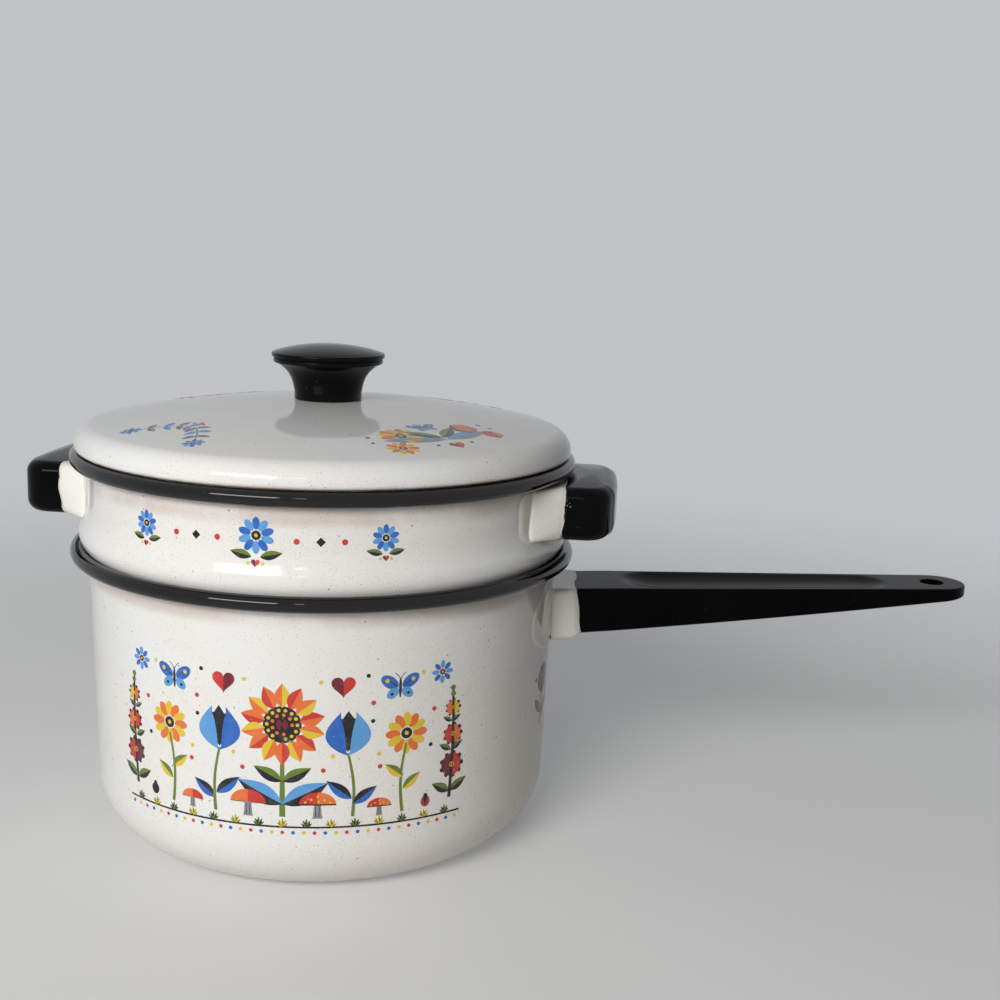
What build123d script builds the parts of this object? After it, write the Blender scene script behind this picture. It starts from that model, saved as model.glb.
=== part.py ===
from build123d import *
import os
from math import atan, atan2, cos, degrees, radians, sin, sqrt, tan

os.makedirs("parts", exist_ok=True)

# A double boiler of enamelled steel: a long-handled lower pot, an upper pot with two side grips that
# hangs in it, and a domed lid with a knob. The pots' axis is Z, the table is Z = 0 and the long
# handle points along +X. All lengths are in millimetres, all angles in degrees.

# Sheet, rolled rims and clearances
sheet = 1.2
bead_radius = 3.0
flare_angle = 40
flare_fillet = 4.0
roll_opening = 75
seat_gap = 0.3
weld_gap = 0.05
fit_gap = 0.05
overrun = 5.0

# Lower pot
lower_rim_radius = 104.0
lower_rim_height = 120.6
lower_overhang = 7.3
lower_taper = 1.4
lower_corner = 24.8

# Upper pot
upper_rim_step = 0.4
upper_rim_rise = 37.8
upper_overhang = 6.1
bulge_radius = 8.0
bulge_inset = 3.7
bulge_turn = 25
insert_play = 1.73
insert_depth = 72.6
insert_corner = 14.0
shoulder_fillet = 2.5

# Lid
lid_inset = 2.1
dome_radius = 463.0
lid_edge_radius = 8.5
lid_skirt = 0.18
lid_turn_bend = 0.3
lid_flange_depth = 9.0
lid_flange_play = 0.7
lid_flange_fillet = 1.5

# Knob, with its heights from the lid up: foot, neck, lip, side of the disc and crown
knob_radius = 23.25
knob_foot_radius = 13.85
knob_foot_height = 3.0
knob_neck_height = 12.0
knob_lip_height = 3.1
knob_lip_step = 0.75
knob_side_height = 1.5
knob_crown = 3.1

# Long handle and its bracket
handle_drop = 18.4
handle_stand = 9.9
handle_lean = 2.0
handle_length = 174.7
handle_root_width = 34.4
handle_root_height = 19.8
handle_end_width = 25.6
handle_end_height = 4.4
handle_edge = 1.4
hang_hole_radius = 5.0
hang_hole_inset = 14.3

# Thumb trough in the long handle
trough_lead = 21.4
trough_length = 117.0
trough_margin = 2.4
trough_depth = 2.6

# Side grips and their brackets
grip_turn = -11.2
grip_drop = 6.8
grip_height = 21.2
grip_width = 66.4
grip_stand = 4.7
grip_reach = 19.4
grip_bulge = 1.6
grip_corner = 11.0
grip_edge = 5.0

# Bracket pressings
bracket_sheet = 1.2
flange_width = 5.0
flange_rise = 1.0
flange_corner = 6.0
drain_radius = 3.0

# Tongues that carry the handle and the grips
tongue_thickness = 2.0
handle_tongue_width = 18.0
handle_tongue_length = 26.0
grip_tongue_width = 42.0
grip_tongue_length = 13.0

# Screws, washers and threaded inserts
handle_screw_radius = 2.5
handle_screw_inset = 13.0
handle_insert_length = 5.0
grip_screw_radius = 2.0
grip_screw_inset = 7.5
grip_screw_spacing = 26.0
grip_insert_length = 6.0
knob_screw_radius = 2.5
knob_insert_length = 12.0
washer_thickness = 1.0
screw_floor = 2.8
head_width_share = 1.8
head_height_share = 1.3
washer_width_share = 1.95
insert_width_share = 1.7
slot_width_share = 0.25
slot_depth_share = 0.45

# Most of a flare's length that the bend at its foot may take, and the least share of a corner that is kept
bend_share = 0.9
least_corner_share = 0.25

# Places worked out from the sizes above
roll_angle = 360 - roll_opening
lower_bead = (lower_rim_radius - bead_radius, lower_rim_height - bead_radius)
lower_wall_radius = lower_rim_radius - lower_overhang
upper_rim_radius = lower_rim_radius - upper_rim_step
upper_rim_height = lower_rim_height + upper_rim_rise
upper_bead = (upper_rim_radius - bead_radius, upper_rim_height - bead_radius)
band_radius = upper_rim_radius - upper_overhang
lid_seat = upper_rim_height + seat_gap
handle_top = lower_rim_height - handle_drop
handle_middle = handle_top - handle_root_height / 2
handle_seam = lower_wall_radius + handle_stand
handle_tip = handle_seam + handle_length
grip_top = upper_rim_height - grip_drop
grip_middle = grip_top - grip_height / 2
grip_seam = band_radius + grip_stand


def around(centre, radius, angle):
    """The point at a radius and an angle in degrees around a centre."""
    return (centre[0] + radius * cos(radians(angle)), centre[1] + radius * sin(radians(angle)))


def flare_points(bead, wall_foot, slope, depth):
    """Foot and top of the flare between a wall and its bead, at a depth into the sheet.

    The wall's inner face has the radius wall_foot at Z = 0 and grows by the slope.
    """
    top = around(bead, bead_radius - depth, 90 + flare_angle)
    rise = tan(radians(flare_angle))
    wall = wall_foot + depth / cos(atan(slope))
    foot_x = (wall + slope * (top[1] - top[0] * rise)) / (1 - slope * rise)
    return (foot_x, top[1] + (foot_x - top[0]) * rise), top


def flare_bend(foot, top):
    """Radius of the bend at the foot of a flare, limited by the flare's own length."""
    length = sqrt((top[0] - foot[0]) ** 2 + (top[1] - foot[1]) ** 2)
    return min(flare_fillet, bend_share * length / tan(radians((90 - flare_angle) / 2)))


def sheet_section(outline):
    """Section of a turned sheet: an outline at both faces, closed on the axis and at the free edge."""
    with BuildSketch(Plane.XZ) as section:
        with BuildLine():
            first = outline(0)
            second = outline(sheet)
            Line(first[0], second[0])
            Line(first[1], second[1])
        make_face()
    return section.sketch


def facing_out(turn, height):
    """A plane on the pots' axis that faces outwards at a turn about Z, with its local Y upwards."""
    out = (cos(radians(turn)), sin(radians(turn)), 0)
    return Plane(origin=(0, 0, height), x_dir=(-out[1], out[0], 0), z_dir=out)


def lying_flat(turn, height):
    """A level plane whose local X points outwards at a turn about Z."""
    return Plane(origin=(0, 0, height), x_dir=(cos(radians(turn)), sin(radians(turn)), 0), z_dir=(0, 0, 1))


# Flares of both rims, on the inner face
wall_slope = tan(radians(lower_taper))
lower_wall_foot = lower_wall_radius - sheet - lower_rim_height * wall_slope
lower_flare_foot, lower_flare = flare_points(lower_bead, lower_wall_foot, wall_slope, 0)
lower_bend = flare_bend(lower_flare_foot, lower_flare)
upper_flare_foot, upper_flare = flare_points(upper_bead, band_radius - sheet, 0, 0)
upper_bend = flare_bend(upper_flare_foot, upper_flare)

# Bulge that seats the upper pot on the flare of the lower rim
bulge_x = lower_rim_radius - bulge_inset - bulge_radius
bulge_lift = bulge_radius + seat_gap + (bulge_x - lower_flare[0]) * sin(radians(flare_angle))
bulge_centre = (bulge_x, lower_flare[1] + bulge_lift / cos(radians(flare_angle)))

# Neck that leads from the bulge up to the straight band
neck_start = around(bulge_centre, bulge_radius, bulge_turn)
neck_radius = (neck_start[0] - band_radius) / (1 - cos(radians(bulge_turn)))
neck_centre = around(bulge_centre, bulge_radius + neck_radius, bulge_turn)

# Fillet that leads from the insert's wall out to the bulge
insert_floor = lower_rim_height - insert_depth
insert_radius = lower_wall_foot + insert_floor * wall_slope - insert_play
shoulder_x = insert_radius + shoulder_fillet
shoulder_drop = sqrt((bulge_radius + shoulder_fillet) ** 2 - (shoulder_x - bulge_centre[0]) ** 2)
shoulder_centre = (shoulder_x, bulge_centre[1] - shoulder_drop)
shoulder_angle = degrees(atan2(shoulder_drop, bulge_centre[0] - shoulder_x))


def lower_outline(depth):
    """The lower pot's floor, corner, wall, flare and rolled rim at a depth below the inner face."""
    foot, flare = flare_points(lower_bead, lower_wall_foot, wall_slope, depth)
    base_radius = foot[0] - (foot[1] - sheet + depth) * wall_slope
    FilletPolyline(
        (0, sheet - depth),
        (base_radius, sheet - depth),
        foot,
        flare,
        radius=(lower_corner - sheet + depth, lower_bend - depth),
    )
    CenterArc(lower_bead, bead_radius - depth, 90 + flare_angle, -roll_angle)
    return (0, sheet - depth), around(lower_bead, bead_radius - depth, 90 + flare_angle - roll_angle)


# Lower pot: drawn from one disc of sheet, with its rim flared and rolled outwards
with BuildPart() as lower_pot:
    revolve(sheet_section(lower_outline), axis=Axis.Z)
lower_pot.part.label = "lower_pot"
export_step(lower_pot.part, "parts/lower_pot.step")


def upper_outline(depth):
    """The upper pot's insert, shoulder, bulge, neck, band and rim at a depth below the inner face."""
    floor = insert_floor + sheet - depth
    insert_wall = insert_radius - sheet + depth
    foot, flare = flare_points(upper_bead, band_radius - sheet, 0, depth)
    FilletPolyline(
        (0, floor),
        (insert_wall, floor),
        (insert_wall, shoulder_centre[1]),
        radius=insert_corner - sheet + depth,
    )
    CenterArc(shoulder_centre, shoulder_fillet + sheet - depth, 180, shoulder_angle - 180)
    bulge_sweep = 180 - shoulder_angle + bulge_turn
    CenterArc(bulge_centre, bulge_radius - sheet + depth, shoulder_angle - 180, bulge_sweep)
    CenterArc(neck_centre, neck_radius + sheet - depth, 180 + bulge_turn, -bulge_turn)
    FilletPolyline(
        (band_radius - sheet + depth, neck_centre[1]),
        foot,
        flare,
        radius=upper_bend - depth,
    )
    CenterArc(upper_bead, bead_radius - depth, 90 + flare_angle, -roll_angle)
    return (0, floor), around(upper_bead, bead_radius - depth, 90 + flare_angle - roll_angle)


# Upper pot: its bulge seats on the lower rim and its insert hangs inside the lower pot
with BuildPart() as upper_pot:
    revolve(sheet_section(upper_outline), axis=Axis.Z)
upper_pot.part.label = "upper_pot"
export_step(upper_pot.part, "parts/upper_pot.step")

# Lid: a shallow dome with a round edge, turned under onto the rim and down into the pot as a flange
lid_radius = upper_rim_radius - lid_inset
lid_turn_radius = sheet + lid_turn_bend
edge_x = lid_radius - lid_edge_radius
edge_rise = sqrt((dome_radius - lid_edge_radius) ** 2 - edge_x ** 2)
edge_centre = (edge_x, lid_seat + lid_turn_radius + lid_skirt)
dome_centre = (0, edge_centre[1] - edge_rise)
lid_top = dome_centre[1] + dome_radius
edge_angle = degrees(atan2(edge_rise, edge_x))
lid_flange_radius = band_radius - sheet - lid_flange_play


def lid_outline(depth):
    """The lid's dome, edge, turned seat and flange at a depth below the outer face."""
    turn_centre = (lid_radius - lid_turn_radius, lid_seat + lid_turn_radius)
    flange_end = (lid_flange_radius - depth, lid_seat - lid_flange_depth)
    CenterArc(dome_centre, dome_radius - depth, 90, edge_angle - 90)
    CenterArc(edge_centre, lid_edge_radius - depth, edge_angle, -edge_angle)
    Line((lid_radius - depth, edge_centre[1]), (lid_radius - depth, turn_centre[1]))
    CenterArc(turn_centre, lid_turn_radius - depth, 0, -90)
    FilletPolyline(
        (turn_centre[0], lid_seat + depth),
        (lid_flange_radius - depth, lid_seat + depth),
        flange_end,
        radius=lid_flange_fillet + depth,
    )
    return (0, lid_top - depth), flange_end


with BuildPart() as lid:
    revolve(sheet_section(lid_outline), axis=Axis.Z)
    with BuildSketch(Plane.XY.offset(lid_top - sheet - overrun)):
        Circle(knob_screw_radius + seat_gap)
    extrude(amount=sheet + 2 * overrun, mode=Mode.SUBTRACT)
lid.part.label = "lid"
export_step(lid.part, "parts/lid.step")


def plane_axis(plane):
    """The axis that runs along a plane's normal."""
    return Axis(plane.origin, plane.z_dir)


def make_insert(plane, spots, screw_radius, length):
    """Threaded inserts with a knurled collar at the open end, at spots on a plane."""
    with BuildPart() as insert:
        with BuildSketch(plane):
            with Locations(*spots):
                Circle(screw_radius * insert_width_share)
        extrude(amount=length)
        with BuildSketch(plane):
            with Locations(*spots):
                Circle(screw_radius + fit_gap)
        extrude(amount=length, mode=Mode.SUBTRACT)
    return insert


def make_screw(plane, spots, screw_radius, length):
    """Pan-head screws whose heads start at a plane and whose shanks run along its normal."""
    head_radius = screw_radius * head_width_share
    head_height = screw_radius * head_height_share
    slot_depth = head_height * slot_depth_share
    with BuildPart() as screw:
        with BuildSketch(plane):
            with Locations(*spots):
                Circle(head_radius)
        extrude(amount=head_height)
        fillet(screw.faces().sort_by(plane_axis(plane))[0:len(spots)].edges(), head_height * slot_depth_share)
        with BuildSketch(plane):
            with Locations(*spots):
                Rectangle(2 * head_radius + overrun, head_radius * slot_width_share)
        extrude(amount=slot_depth, mode=Mode.SUBTRACT)
        with BuildSketch(plane.offset(head_height)):
            with Locations(*spots):
                Circle(screw_radius)
        extrude(amount=length)
    return screw


def make_washer(plane, spots, screw_radius):
    """Flat washers that stand on a plane, with the hole clear of the shank."""
    with BuildPart() as washer:
        with BuildSketch(plane):
            with Locations(*spots):
                Circle(screw_radius * washer_width_share)
                Circle(screw_radius + fit_gap, mode=Mode.SUBTRACT)
        extrude(amount=washer_thickness)
    return washer


# Knob: a turned phenolic knob with a straight foot, a hollow neck and a stepped disc
knob_disc_height = knob_foot_height + knob_neck_height
lip_top = knob_disc_height + knob_lip_height
knob_edge_height = lip_top + knob_side_height
knob_height = knob_edge_height + knob_crown
disc_radius = knob_radius - knob_lip_step
neck_middle_share = (0.23, 0.55)
neck_width = disc_radius - knob_foot_radius
cap_radius = (disc_radius ** 2 + knob_crown ** 2) / (2 * knob_crown)
cap_angle = degrees(atan2(cap_radius - knob_crown, disc_radius))
with BuildPart() as knob:
    with BuildSketch(Plane.XZ):
        with BuildLine():
            Line((0, lid_top), (knob_foot_radius, lid_top))
            Line((knob_foot_radius, lid_top), (knob_foot_radius, lid_top + knob_foot_height))
            ThreePointArc(
                (knob_foot_radius, lid_top + knob_foot_height),
                (
                    knob_foot_radius + neck_width * neck_middle_share[0],
                    lid_top + knob_foot_height + knob_neck_height * neck_middle_share[1],
                ),
                (disc_radius - knob_lip_step, lid_top + knob_disc_height),
            )
            ThreePointArc(
                (disc_radius - knob_lip_step, lid_top + knob_disc_height),
                (knob_radius, lid_top + knob_disc_height + knob_lip_height / 2),
                (disc_radius - knob_lip_step, lid_top + lip_top),
            )
            Line((disc_radius - knob_lip_step, lid_top + lip_top), (disc_radius, lid_top + lip_top))
            Line((disc_radius, lid_top + lip_top), (disc_radius, lid_top + knob_edge_height))
            CenterArc((0, lid_top + knob_height - cap_radius), cap_radius, cap_angle, 90 - cap_angle)
            Line((0, lid_top + knob_height), (0, lid_top))
        make_face()
    revolve(axis=Axis.Z)
    with BuildSketch(Plane.XY.offset(lid_top)):
        Circle(knob_screw_radius * insert_width_share)
    extrude(amount=knob_insert_length, mode=Mode.SUBTRACT)
knob.part.label = "knob"
export_step(knob.part, "parts/knob.step")

# Fasteners of the knob: the screw comes up through the lid into the insert
knob_head_height = knob_screw_radius * head_height_share
knob_washer_height = lid_top - sheet - weld_gap - washer_thickness
knob_screw_length = washer_thickness + sheet + knob_insert_length
knob_spot = ((0, 0),)
knob_screw = make_screw(
    Plane.XY.offset(knob_washer_height - knob_head_height), knob_spot, knob_screw_radius, knob_screw_length
)
knob_screw.part.label = "knob_screw"
export_step(knob_screw.part, "parts/knob_screw.step")

knob_washer = make_washer(Plane.XY.offset(knob_washer_height), knob_spot, knob_screw_radius)
knob_washer.part.label = "knob_washer"
export_step(knob_washer.part, "parts/knob_washer.step")

knob_insert = make_insert(Plane.XY.offset(lid_top), knob_spot, knob_screw_radius, knob_insert_length)
knob_insert.part.label = "knob_insert"
export_step(knob_insert.part, "parts/knob_insert.step")


def lower_surface(gap):
    """The lower pot's outer wall grown by a gap, as the outline of what lies inside it."""
    foot = lower_wall_foot + sheet + gap
    with BuildSketch(Plane.XZ) as inside:
        with BuildLine():
            Polyline(
                (0, 0),
                (foot, 0),
                (foot + lower_rim_height * wall_slope, lower_rim_height),
                (0, lower_rim_height),
                close=True,
            )
        make_face()
    return inside.sketch


def upper_surface(gap):
    """The upper pot's bulge, neck and band grown by a gap, as the outline of what lies inside them."""
    widest = bulge_centre[0] + bulge_radius + gap
    with BuildSketch(Plane.XZ) as inside:
        with BuildLine():
            Polyline((0, insert_floor), (widest, insert_floor), (widest, bulge_centre[1]))
            CenterArc(bulge_centre, bulge_radius + gap, 0, bulge_turn)
            CenterArc(neck_centre, neck_radius - gap, 180 + bulge_turn, -bulge_turn)
            Polyline(
                (band_radius + gap, neck_centre[1]),
                (band_radius + gap, upper_rim_height),
                (0, upper_rim_height),
                (0, insert_floor),
            )
        make_face()
    return inside.sketch


def make_bracket(turn, middle, seam, width, height, corner, surface, tongue_width, tongue_length, spots, hole):
    """A pressed cup, flanged onto a pot's wall, whose end plate carries a tongue for the grip.

    The seam is the plane that the cup ends at. The surface function gives the wall that it stands on.
    """
    base = facing_out(turn, middle)
    inner_width = width - 2 * bracket_sheet
    inner_height = height - 2 * bracket_sheet
    inner_corner = max(corner - bracket_sheet, corner * least_corner_share)
    reach = abs((seam.origin - base.origin).dot(base.z_dir)) + overrun

    # Flange: a skin on the wall, cut to a frame around the cup
    with BuildPart() as flange:
        revolve(surface(weld_gap + bracket_sheet), axis=Axis.Z)
        revolve(surface(weld_gap), axis=Axis.Z, mode=Mode.SUBTRACT)
        with BuildSketch(base):
            RectangleRounded(width + 2 * flange_width, height + 2 * flange_rise, flange_corner)
            RectangleRounded(inner_width, inner_height, inner_corner, mode=Mode.SUBTRACT)
        extrude(amount=reach, mode=Mode.INTERSECT)

    # Hollow of the cup, up to the end plate
    with BuildPart() as hollow:
        with BuildSketch(base):
            RectangleRounded(inner_width, inner_height, inner_corner)
        extrude(amount=reach)
        split(bisect_by=seam.offset(-bracket_sheet), keep=Keep.BOTTOM)

    with BuildPart() as bracket:
        with BuildSketch(base):
            RectangleRounded(width, height, corner)
        extrude(amount=reach)
        split(bisect_by=seam, keep=Keep.BOTTOM)
        add(hollow.part, mode=Mode.SUBTRACT)
        revolve(surface(weld_gap), axis=Axis.Z, mode=Mode.SUBTRACT)
        add(flange.part)
        with BuildSketch(lying_flat(turn, middle - tongue_thickness / 2)):
            with Locations((reach - overrun + (tongue_length - bracket_sheet) / 2, 0)):
                Rectangle(tongue_length + bracket_sheet, tongue_width)
            with Locations(*spots):
                Circle(hole, mode=Mode.SUBTRACT)
        extrude(amount=tongue_thickness)
        with BuildSketch(lying_flat(turn, middle - height / 2 - overrun)):
            with Locations((seam_of(seam, base) - drain_radius - 2 * bracket_sheet, 0)):
                Circle(drain_radius)
        extrude(amount=bracket_sheet + overrun, mode=Mode.SUBTRACT)
    return bracket


def seam_of(seam, base):
    """How far out along a bracket's direction its seam lies."""
    return (seam.origin - base.origin).dot(base.z_dir)


# Bracket of the long handle: its seam leans out towards the underside
lean_angle = degrees(atan2(handle_lean, handle_root_height))
seam_tilt = (cos(radians(lean_angle)), 0, sin(radians(lean_angle)))
handle_seam_middle = handle_seam + handle_lean / 2
handle_seam_plane = Plane(origin=(handle_seam_middle, 0, handle_middle), x_dir=(0, 1, 0), z_dir=seam_tilt)
handle_spot = ((handle_seam_middle + handle_screw_inset, 0),)
handle_bracket = make_bracket(
    0,
    handle_middle,
    handle_seam_plane,
    handle_root_width,
    handle_root_height,
    handle_edge,
    lower_surface,
    handle_tongue_width,
    handle_tongue_length,
    handle_spot,
    handle_screw_radius + fit_gap,
)
handle_bracket.part.label = "handle_bracket"
export_step(handle_bracket.part, "parts/handle_bracket.step")


def handle_width_at(x):
    """The long handle's width at a distance from the pots' axis."""
    share = (x - handle_seam) / (handle_tip - handle_seam)
    return handle_root_width + (handle_end_width - handle_root_width) * share


def handle_height_at(x):
    """The long handle's height at a distance from the pots' axis."""
    share = (x - handle_seam) / (handle_tip - handle_seam)
    return handle_root_height + (handle_end_height - handle_root_height) * share


# Long handle: a tapered phenolic bar, flat on top, with a thumb trough and a hole to hang it by
station_share = (-0.02, 0.45, 1.0)
trough_start = handle_seam + trough_lead
trough_end = trough_start + trough_length
trough_start_width = handle_width_at(trough_start) - 2 * trough_margin
trough_end_width = handle_width_at(trough_end) - 2 * trough_margin
axis_height = (trough_start_width ** 2 / 4 - trough_depth ** 2) / (2 * trough_depth)
trough_axis = handle_top + axis_height
start_radius = axis_height + trough_depth
end_radius = sqrt(trough_end_width ** 2 / 4 + axis_height ** 2)
trough_first = trough_start + trough_start_width / 2
trough_last = trough_end - trough_end_width / 2
head_room = handle_screw_radius * washer_width_share + seat_gap
slot_bottom = handle_middle - tongue_thickness / 2 - fit_gap
slot_height = tongue_thickness + 2 * fit_gap
handle_head_top = slot_bottom - screw_floor
handle_tongue_end = handle_seam_middle + handle_tongue_length
hang_hole_x = handle_tip - hang_hole_inset
with BuildPart() as long_handle:
    for share in station_share:
        station = handle_seam + (handle_tip - handle_seam) * share
        width = handle_width_at(station)
        height = handle_height_at(station)
        with BuildSketch(facing_out(0, handle_top - height / 2).offset(station)):
            edge_share = height / handle_root_height + least_corner_share
            RectangleRounded(width, height, handle_edge * edge_share)
    loft()
    split(bisect_by=handle_seam_plane, keep=Keep.TOP)
    with BuildSketch(Plane.XY):
        with Locations((handle_tip - handle_end_width / 2, 0)):
            Circle(handle_end_width / 2)
        with Locations(((handle_tip - handle_end_width) / 2, 0)):
            Rectangle(handle_tip, handle_root_width + overrun)
    extrude(amount=handle_top + overrun, mode=Mode.INTERSECT)
    with BuildSketch(Plane.XZ):
        with BuildLine():
            CenterArc((trough_first, trough_axis), start_radius, 180, 90)
            Line((trough_first, trough_axis - start_radius), (trough_last, trough_axis - end_radius))
            CenterArc((trough_last, trough_axis), end_radius, 270, 90)
            Line((trough_last + end_radius, trough_axis), (trough_first - start_radius, trough_axis))
        make_face()
    revolve(axis=Axis((0, 0, trough_axis), (1, 0, 0)), mode=Mode.SUBTRACT)
    with BuildSketch(Plane.XY.offset(handle_top + overrun)):
        with Locations((hang_hole_x, 0)):
            Circle(hang_hole_radius)
    extrude(amount=-handle_root_height - 2 * overrun, mode=Mode.SUBTRACT)
    with BuildSketch(Plane.XY.offset(slot_bottom)):
        with Locations(((handle_seam + handle_tongue_end + fit_gap - overrun) / 2, 0)):
            Rectangle(handle_tongue_end + fit_gap - handle_seam + overrun, handle_tongue_width + 2 * fit_gap)
    extrude(amount=slot_height, mode=Mode.SUBTRACT)
    with BuildSketch(Plane.XY.offset(slot_bottom)):
        with Locations(*handle_spot):
            Circle(handle_screw_radius + seat_gap)
    extrude(amount=-handle_root_height, mode=Mode.SUBTRACT)
    with BuildSketch(Plane.XY.offset(handle_head_top)):
        with Locations(*handle_spot):
            Circle(head_room)
    extrude(amount=-handle_root_height, mode=Mode.SUBTRACT)
    with BuildSketch(Plane.XY.offset(slot_bottom + slot_height)):
        with Locations(*handle_spot):
            Circle(handle_screw_radius * insert_width_share)
    extrude(amount=handle_insert_length, mode=Mode.SUBTRACT)
long_handle.part.label = "long_handle"
export_step(long_handle.part, "parts/long_handle.step")

# Fasteners of the long handle, put in from below
handle_head_height = handle_screw_radius * head_height_share
handle_screw = make_screw(
    Plane.XY.offset(handle_head_top - washer_thickness - handle_head_height),
    handle_spot,
    handle_screw_radius,
    washer_thickness + screw_floor + slot_height + handle_insert_length,
)
handle_screw.part.label = "handle_screw"
export_step(handle_screw.part, "parts/handle_screw.step")

handle_washer = make_washer(
    Plane.XY.offset(handle_head_top - washer_thickness), handle_spot, handle_screw_radius
)
handle_washer.part.label = "handle_washer"
export_step(handle_washer.part, "parts/handle_washer.step")

handle_insert = make_insert(
    Plane.XY.offset(slot_bottom + slot_height), handle_spot, handle_screw_radius, handle_insert_length
)
handle_insert.part.label = "handle_insert"
export_step(handle_insert.part, "parts/handle_insert.step")

# Side grips: rounded phenolic blocks on flanged brackets, alike on both sides of the upper pot
grip_slot_bottom = grip_middle - tongue_thickness / 2 - fit_gap
grip_head_top = grip_slot_bottom - screw_floor
grip_head_room = grip_screw_radius * washer_width_share + seat_gap
grip_head_height = grip_screw_radius * head_height_share
grip_spots = tuple((grip_seam + grip_screw_inset, side * grip_screw_spacing / 2) for side in (-1, 1))
grip_tongue_end = grip_seam + grip_tongue_length
for side, turn in (("right", grip_turn), ("left", grip_turn + 180)):
    seam_plane = facing_out(turn, grip_middle).offset(grip_seam)
    bracket = make_bracket(
        turn,
        grip_middle,
        seam_plane,
        grip_width,
        grip_height,
        grip_edge,
        upper_surface,
        grip_tongue_width,
        grip_tongue_length,
        grip_spots,
        grip_screw_radius + fit_gap,
    )
    bracket.part.label = side + "_grip_bracket"
    export_step(bracket.part, "parts/" + bracket.part.label + ".step")

    with BuildPart() as grip:
        with BuildSketch(lying_flat(turn, grip_middle - grip_height / 2)):
            with BuildLine():
                Polyline(
                    (grip_seam + grip_reach - grip_bulge, grip_width / 2),
                    (grip_seam, grip_width / 2),
                    (grip_seam, -grip_width / 2),
                    (grip_seam + grip_reach - grip_bulge, -grip_width / 2),
                )
                ThreePointArc(
                    (grip_seam + grip_reach - grip_bulge, -grip_width / 2),
                    (grip_seam + grip_reach, 0),
                    (grip_seam + grip_reach - grip_bulge, grip_width / 2),
                )
            make_face()
        extrude(amount=grip_height)
        outward = Axis((0, 0, 0), facing_out(turn, 0).z_dir)
        fillet(grip.edges().filter_by(Axis.Z).sort_by(outward)[-2:], grip_corner)
        level_edges = grip.faces().filter_by(Axis.Z).edges()
        fillet(level_edges - level_edges.group_by(outward)[0], grip_edge)
        with BuildSketch(lying_flat(turn, grip_slot_bottom)):
            with Locations(((grip_seam + grip_tongue_end + fit_gap - overrun) / 2, 0)):
                Rectangle(grip_tongue_end + fit_gap - grip_seam + overrun, grip_tongue_width + 2 * fit_gap)
        extrude(amount=slot_height, mode=Mode.SUBTRACT)
        with BuildSketch(lying_flat(turn, grip_slot_bottom)):
            with Locations(*grip_spots):
                Circle(grip_screw_radius + seat_gap)
        extrude(amount=-grip_height, mode=Mode.SUBTRACT)
        with BuildSketch(lying_flat(turn, grip_head_top)):
            with Locations(*grip_spots):
                Circle(grip_head_room)
        extrude(amount=-grip_height, mode=Mode.SUBTRACT)
        with BuildSketch(lying_flat(turn, grip_slot_bottom + slot_height)):
            with Locations(*grip_spots):
                Circle(grip_screw_radius * insert_width_share)
        extrude(amount=grip_insert_length, mode=Mode.SUBTRACT)
    grip.part.label = side + "_grip"
    export_step(grip.part, "parts/" + grip.part.label + ".step")

    screws = make_screw(
        lying_flat(turn, grip_head_top - washer_thickness - grip_head_height),
        grip_spots,
        grip_screw_radius,
        washer_thickness + screw_floor + slot_height + grip_insert_length,
    )
    screws.part.label = side + "_grip_screws"
    export_step(screws.part, "parts/" + screws.part.label + ".step")

    washers = make_washer(lying_flat(turn, grip_head_top - washer_thickness), grip_spots, grip_screw_radius)
    washers.part.label = side + "_grip_washers"
    export_step(washers.part, "parts/" + washers.part.label + ".step")

    inserts = make_insert(
        lying_flat(turn, grip_slot_bottom + slot_height), grip_spots, grip_screw_radius, grip_insert_length
    )
    inserts.part.label = side + "_grip_inserts"
    export_step(inserts.part, "parts/" + inserts.part.label + ".step")
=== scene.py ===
import bmesh
import bpy
import numpy as np
from math import acos, atan2, cos, degrees, pi, radians, sin, sqrt, tan
from mathutils import Matrix, Vector


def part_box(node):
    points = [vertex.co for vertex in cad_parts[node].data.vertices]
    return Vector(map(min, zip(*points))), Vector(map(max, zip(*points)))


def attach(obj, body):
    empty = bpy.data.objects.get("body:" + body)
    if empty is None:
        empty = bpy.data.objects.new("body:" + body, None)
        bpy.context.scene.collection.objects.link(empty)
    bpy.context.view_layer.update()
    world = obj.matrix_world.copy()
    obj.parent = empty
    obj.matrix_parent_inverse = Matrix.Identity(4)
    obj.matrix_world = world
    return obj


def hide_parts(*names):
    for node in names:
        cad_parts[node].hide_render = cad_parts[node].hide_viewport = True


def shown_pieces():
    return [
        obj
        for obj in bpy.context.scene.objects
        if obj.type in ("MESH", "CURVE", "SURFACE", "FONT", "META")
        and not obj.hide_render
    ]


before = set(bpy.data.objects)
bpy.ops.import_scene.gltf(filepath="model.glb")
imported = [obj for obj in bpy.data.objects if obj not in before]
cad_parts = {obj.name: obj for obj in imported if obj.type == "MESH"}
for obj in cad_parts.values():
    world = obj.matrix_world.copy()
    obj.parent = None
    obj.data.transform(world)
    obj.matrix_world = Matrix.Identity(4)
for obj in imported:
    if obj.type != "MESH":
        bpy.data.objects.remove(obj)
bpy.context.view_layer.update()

# An enamelled double boiler: long-handled lower pot, upper pot with side grips, domed lid with a knob.
# Lengths are in metres, written as millimetres times mm. Angles are in degrees. The pots' axis is Z.
mm = 0.001

# Overall sizes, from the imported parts
lower_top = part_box("lower_pot")[1]
upper_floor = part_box("upper_pot")[0].z
upper_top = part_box("upper_pot")[1]
lid_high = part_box("lid")[1]
knob_low, knob_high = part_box("knob")
handle_low, handle_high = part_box("long_handle")

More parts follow.
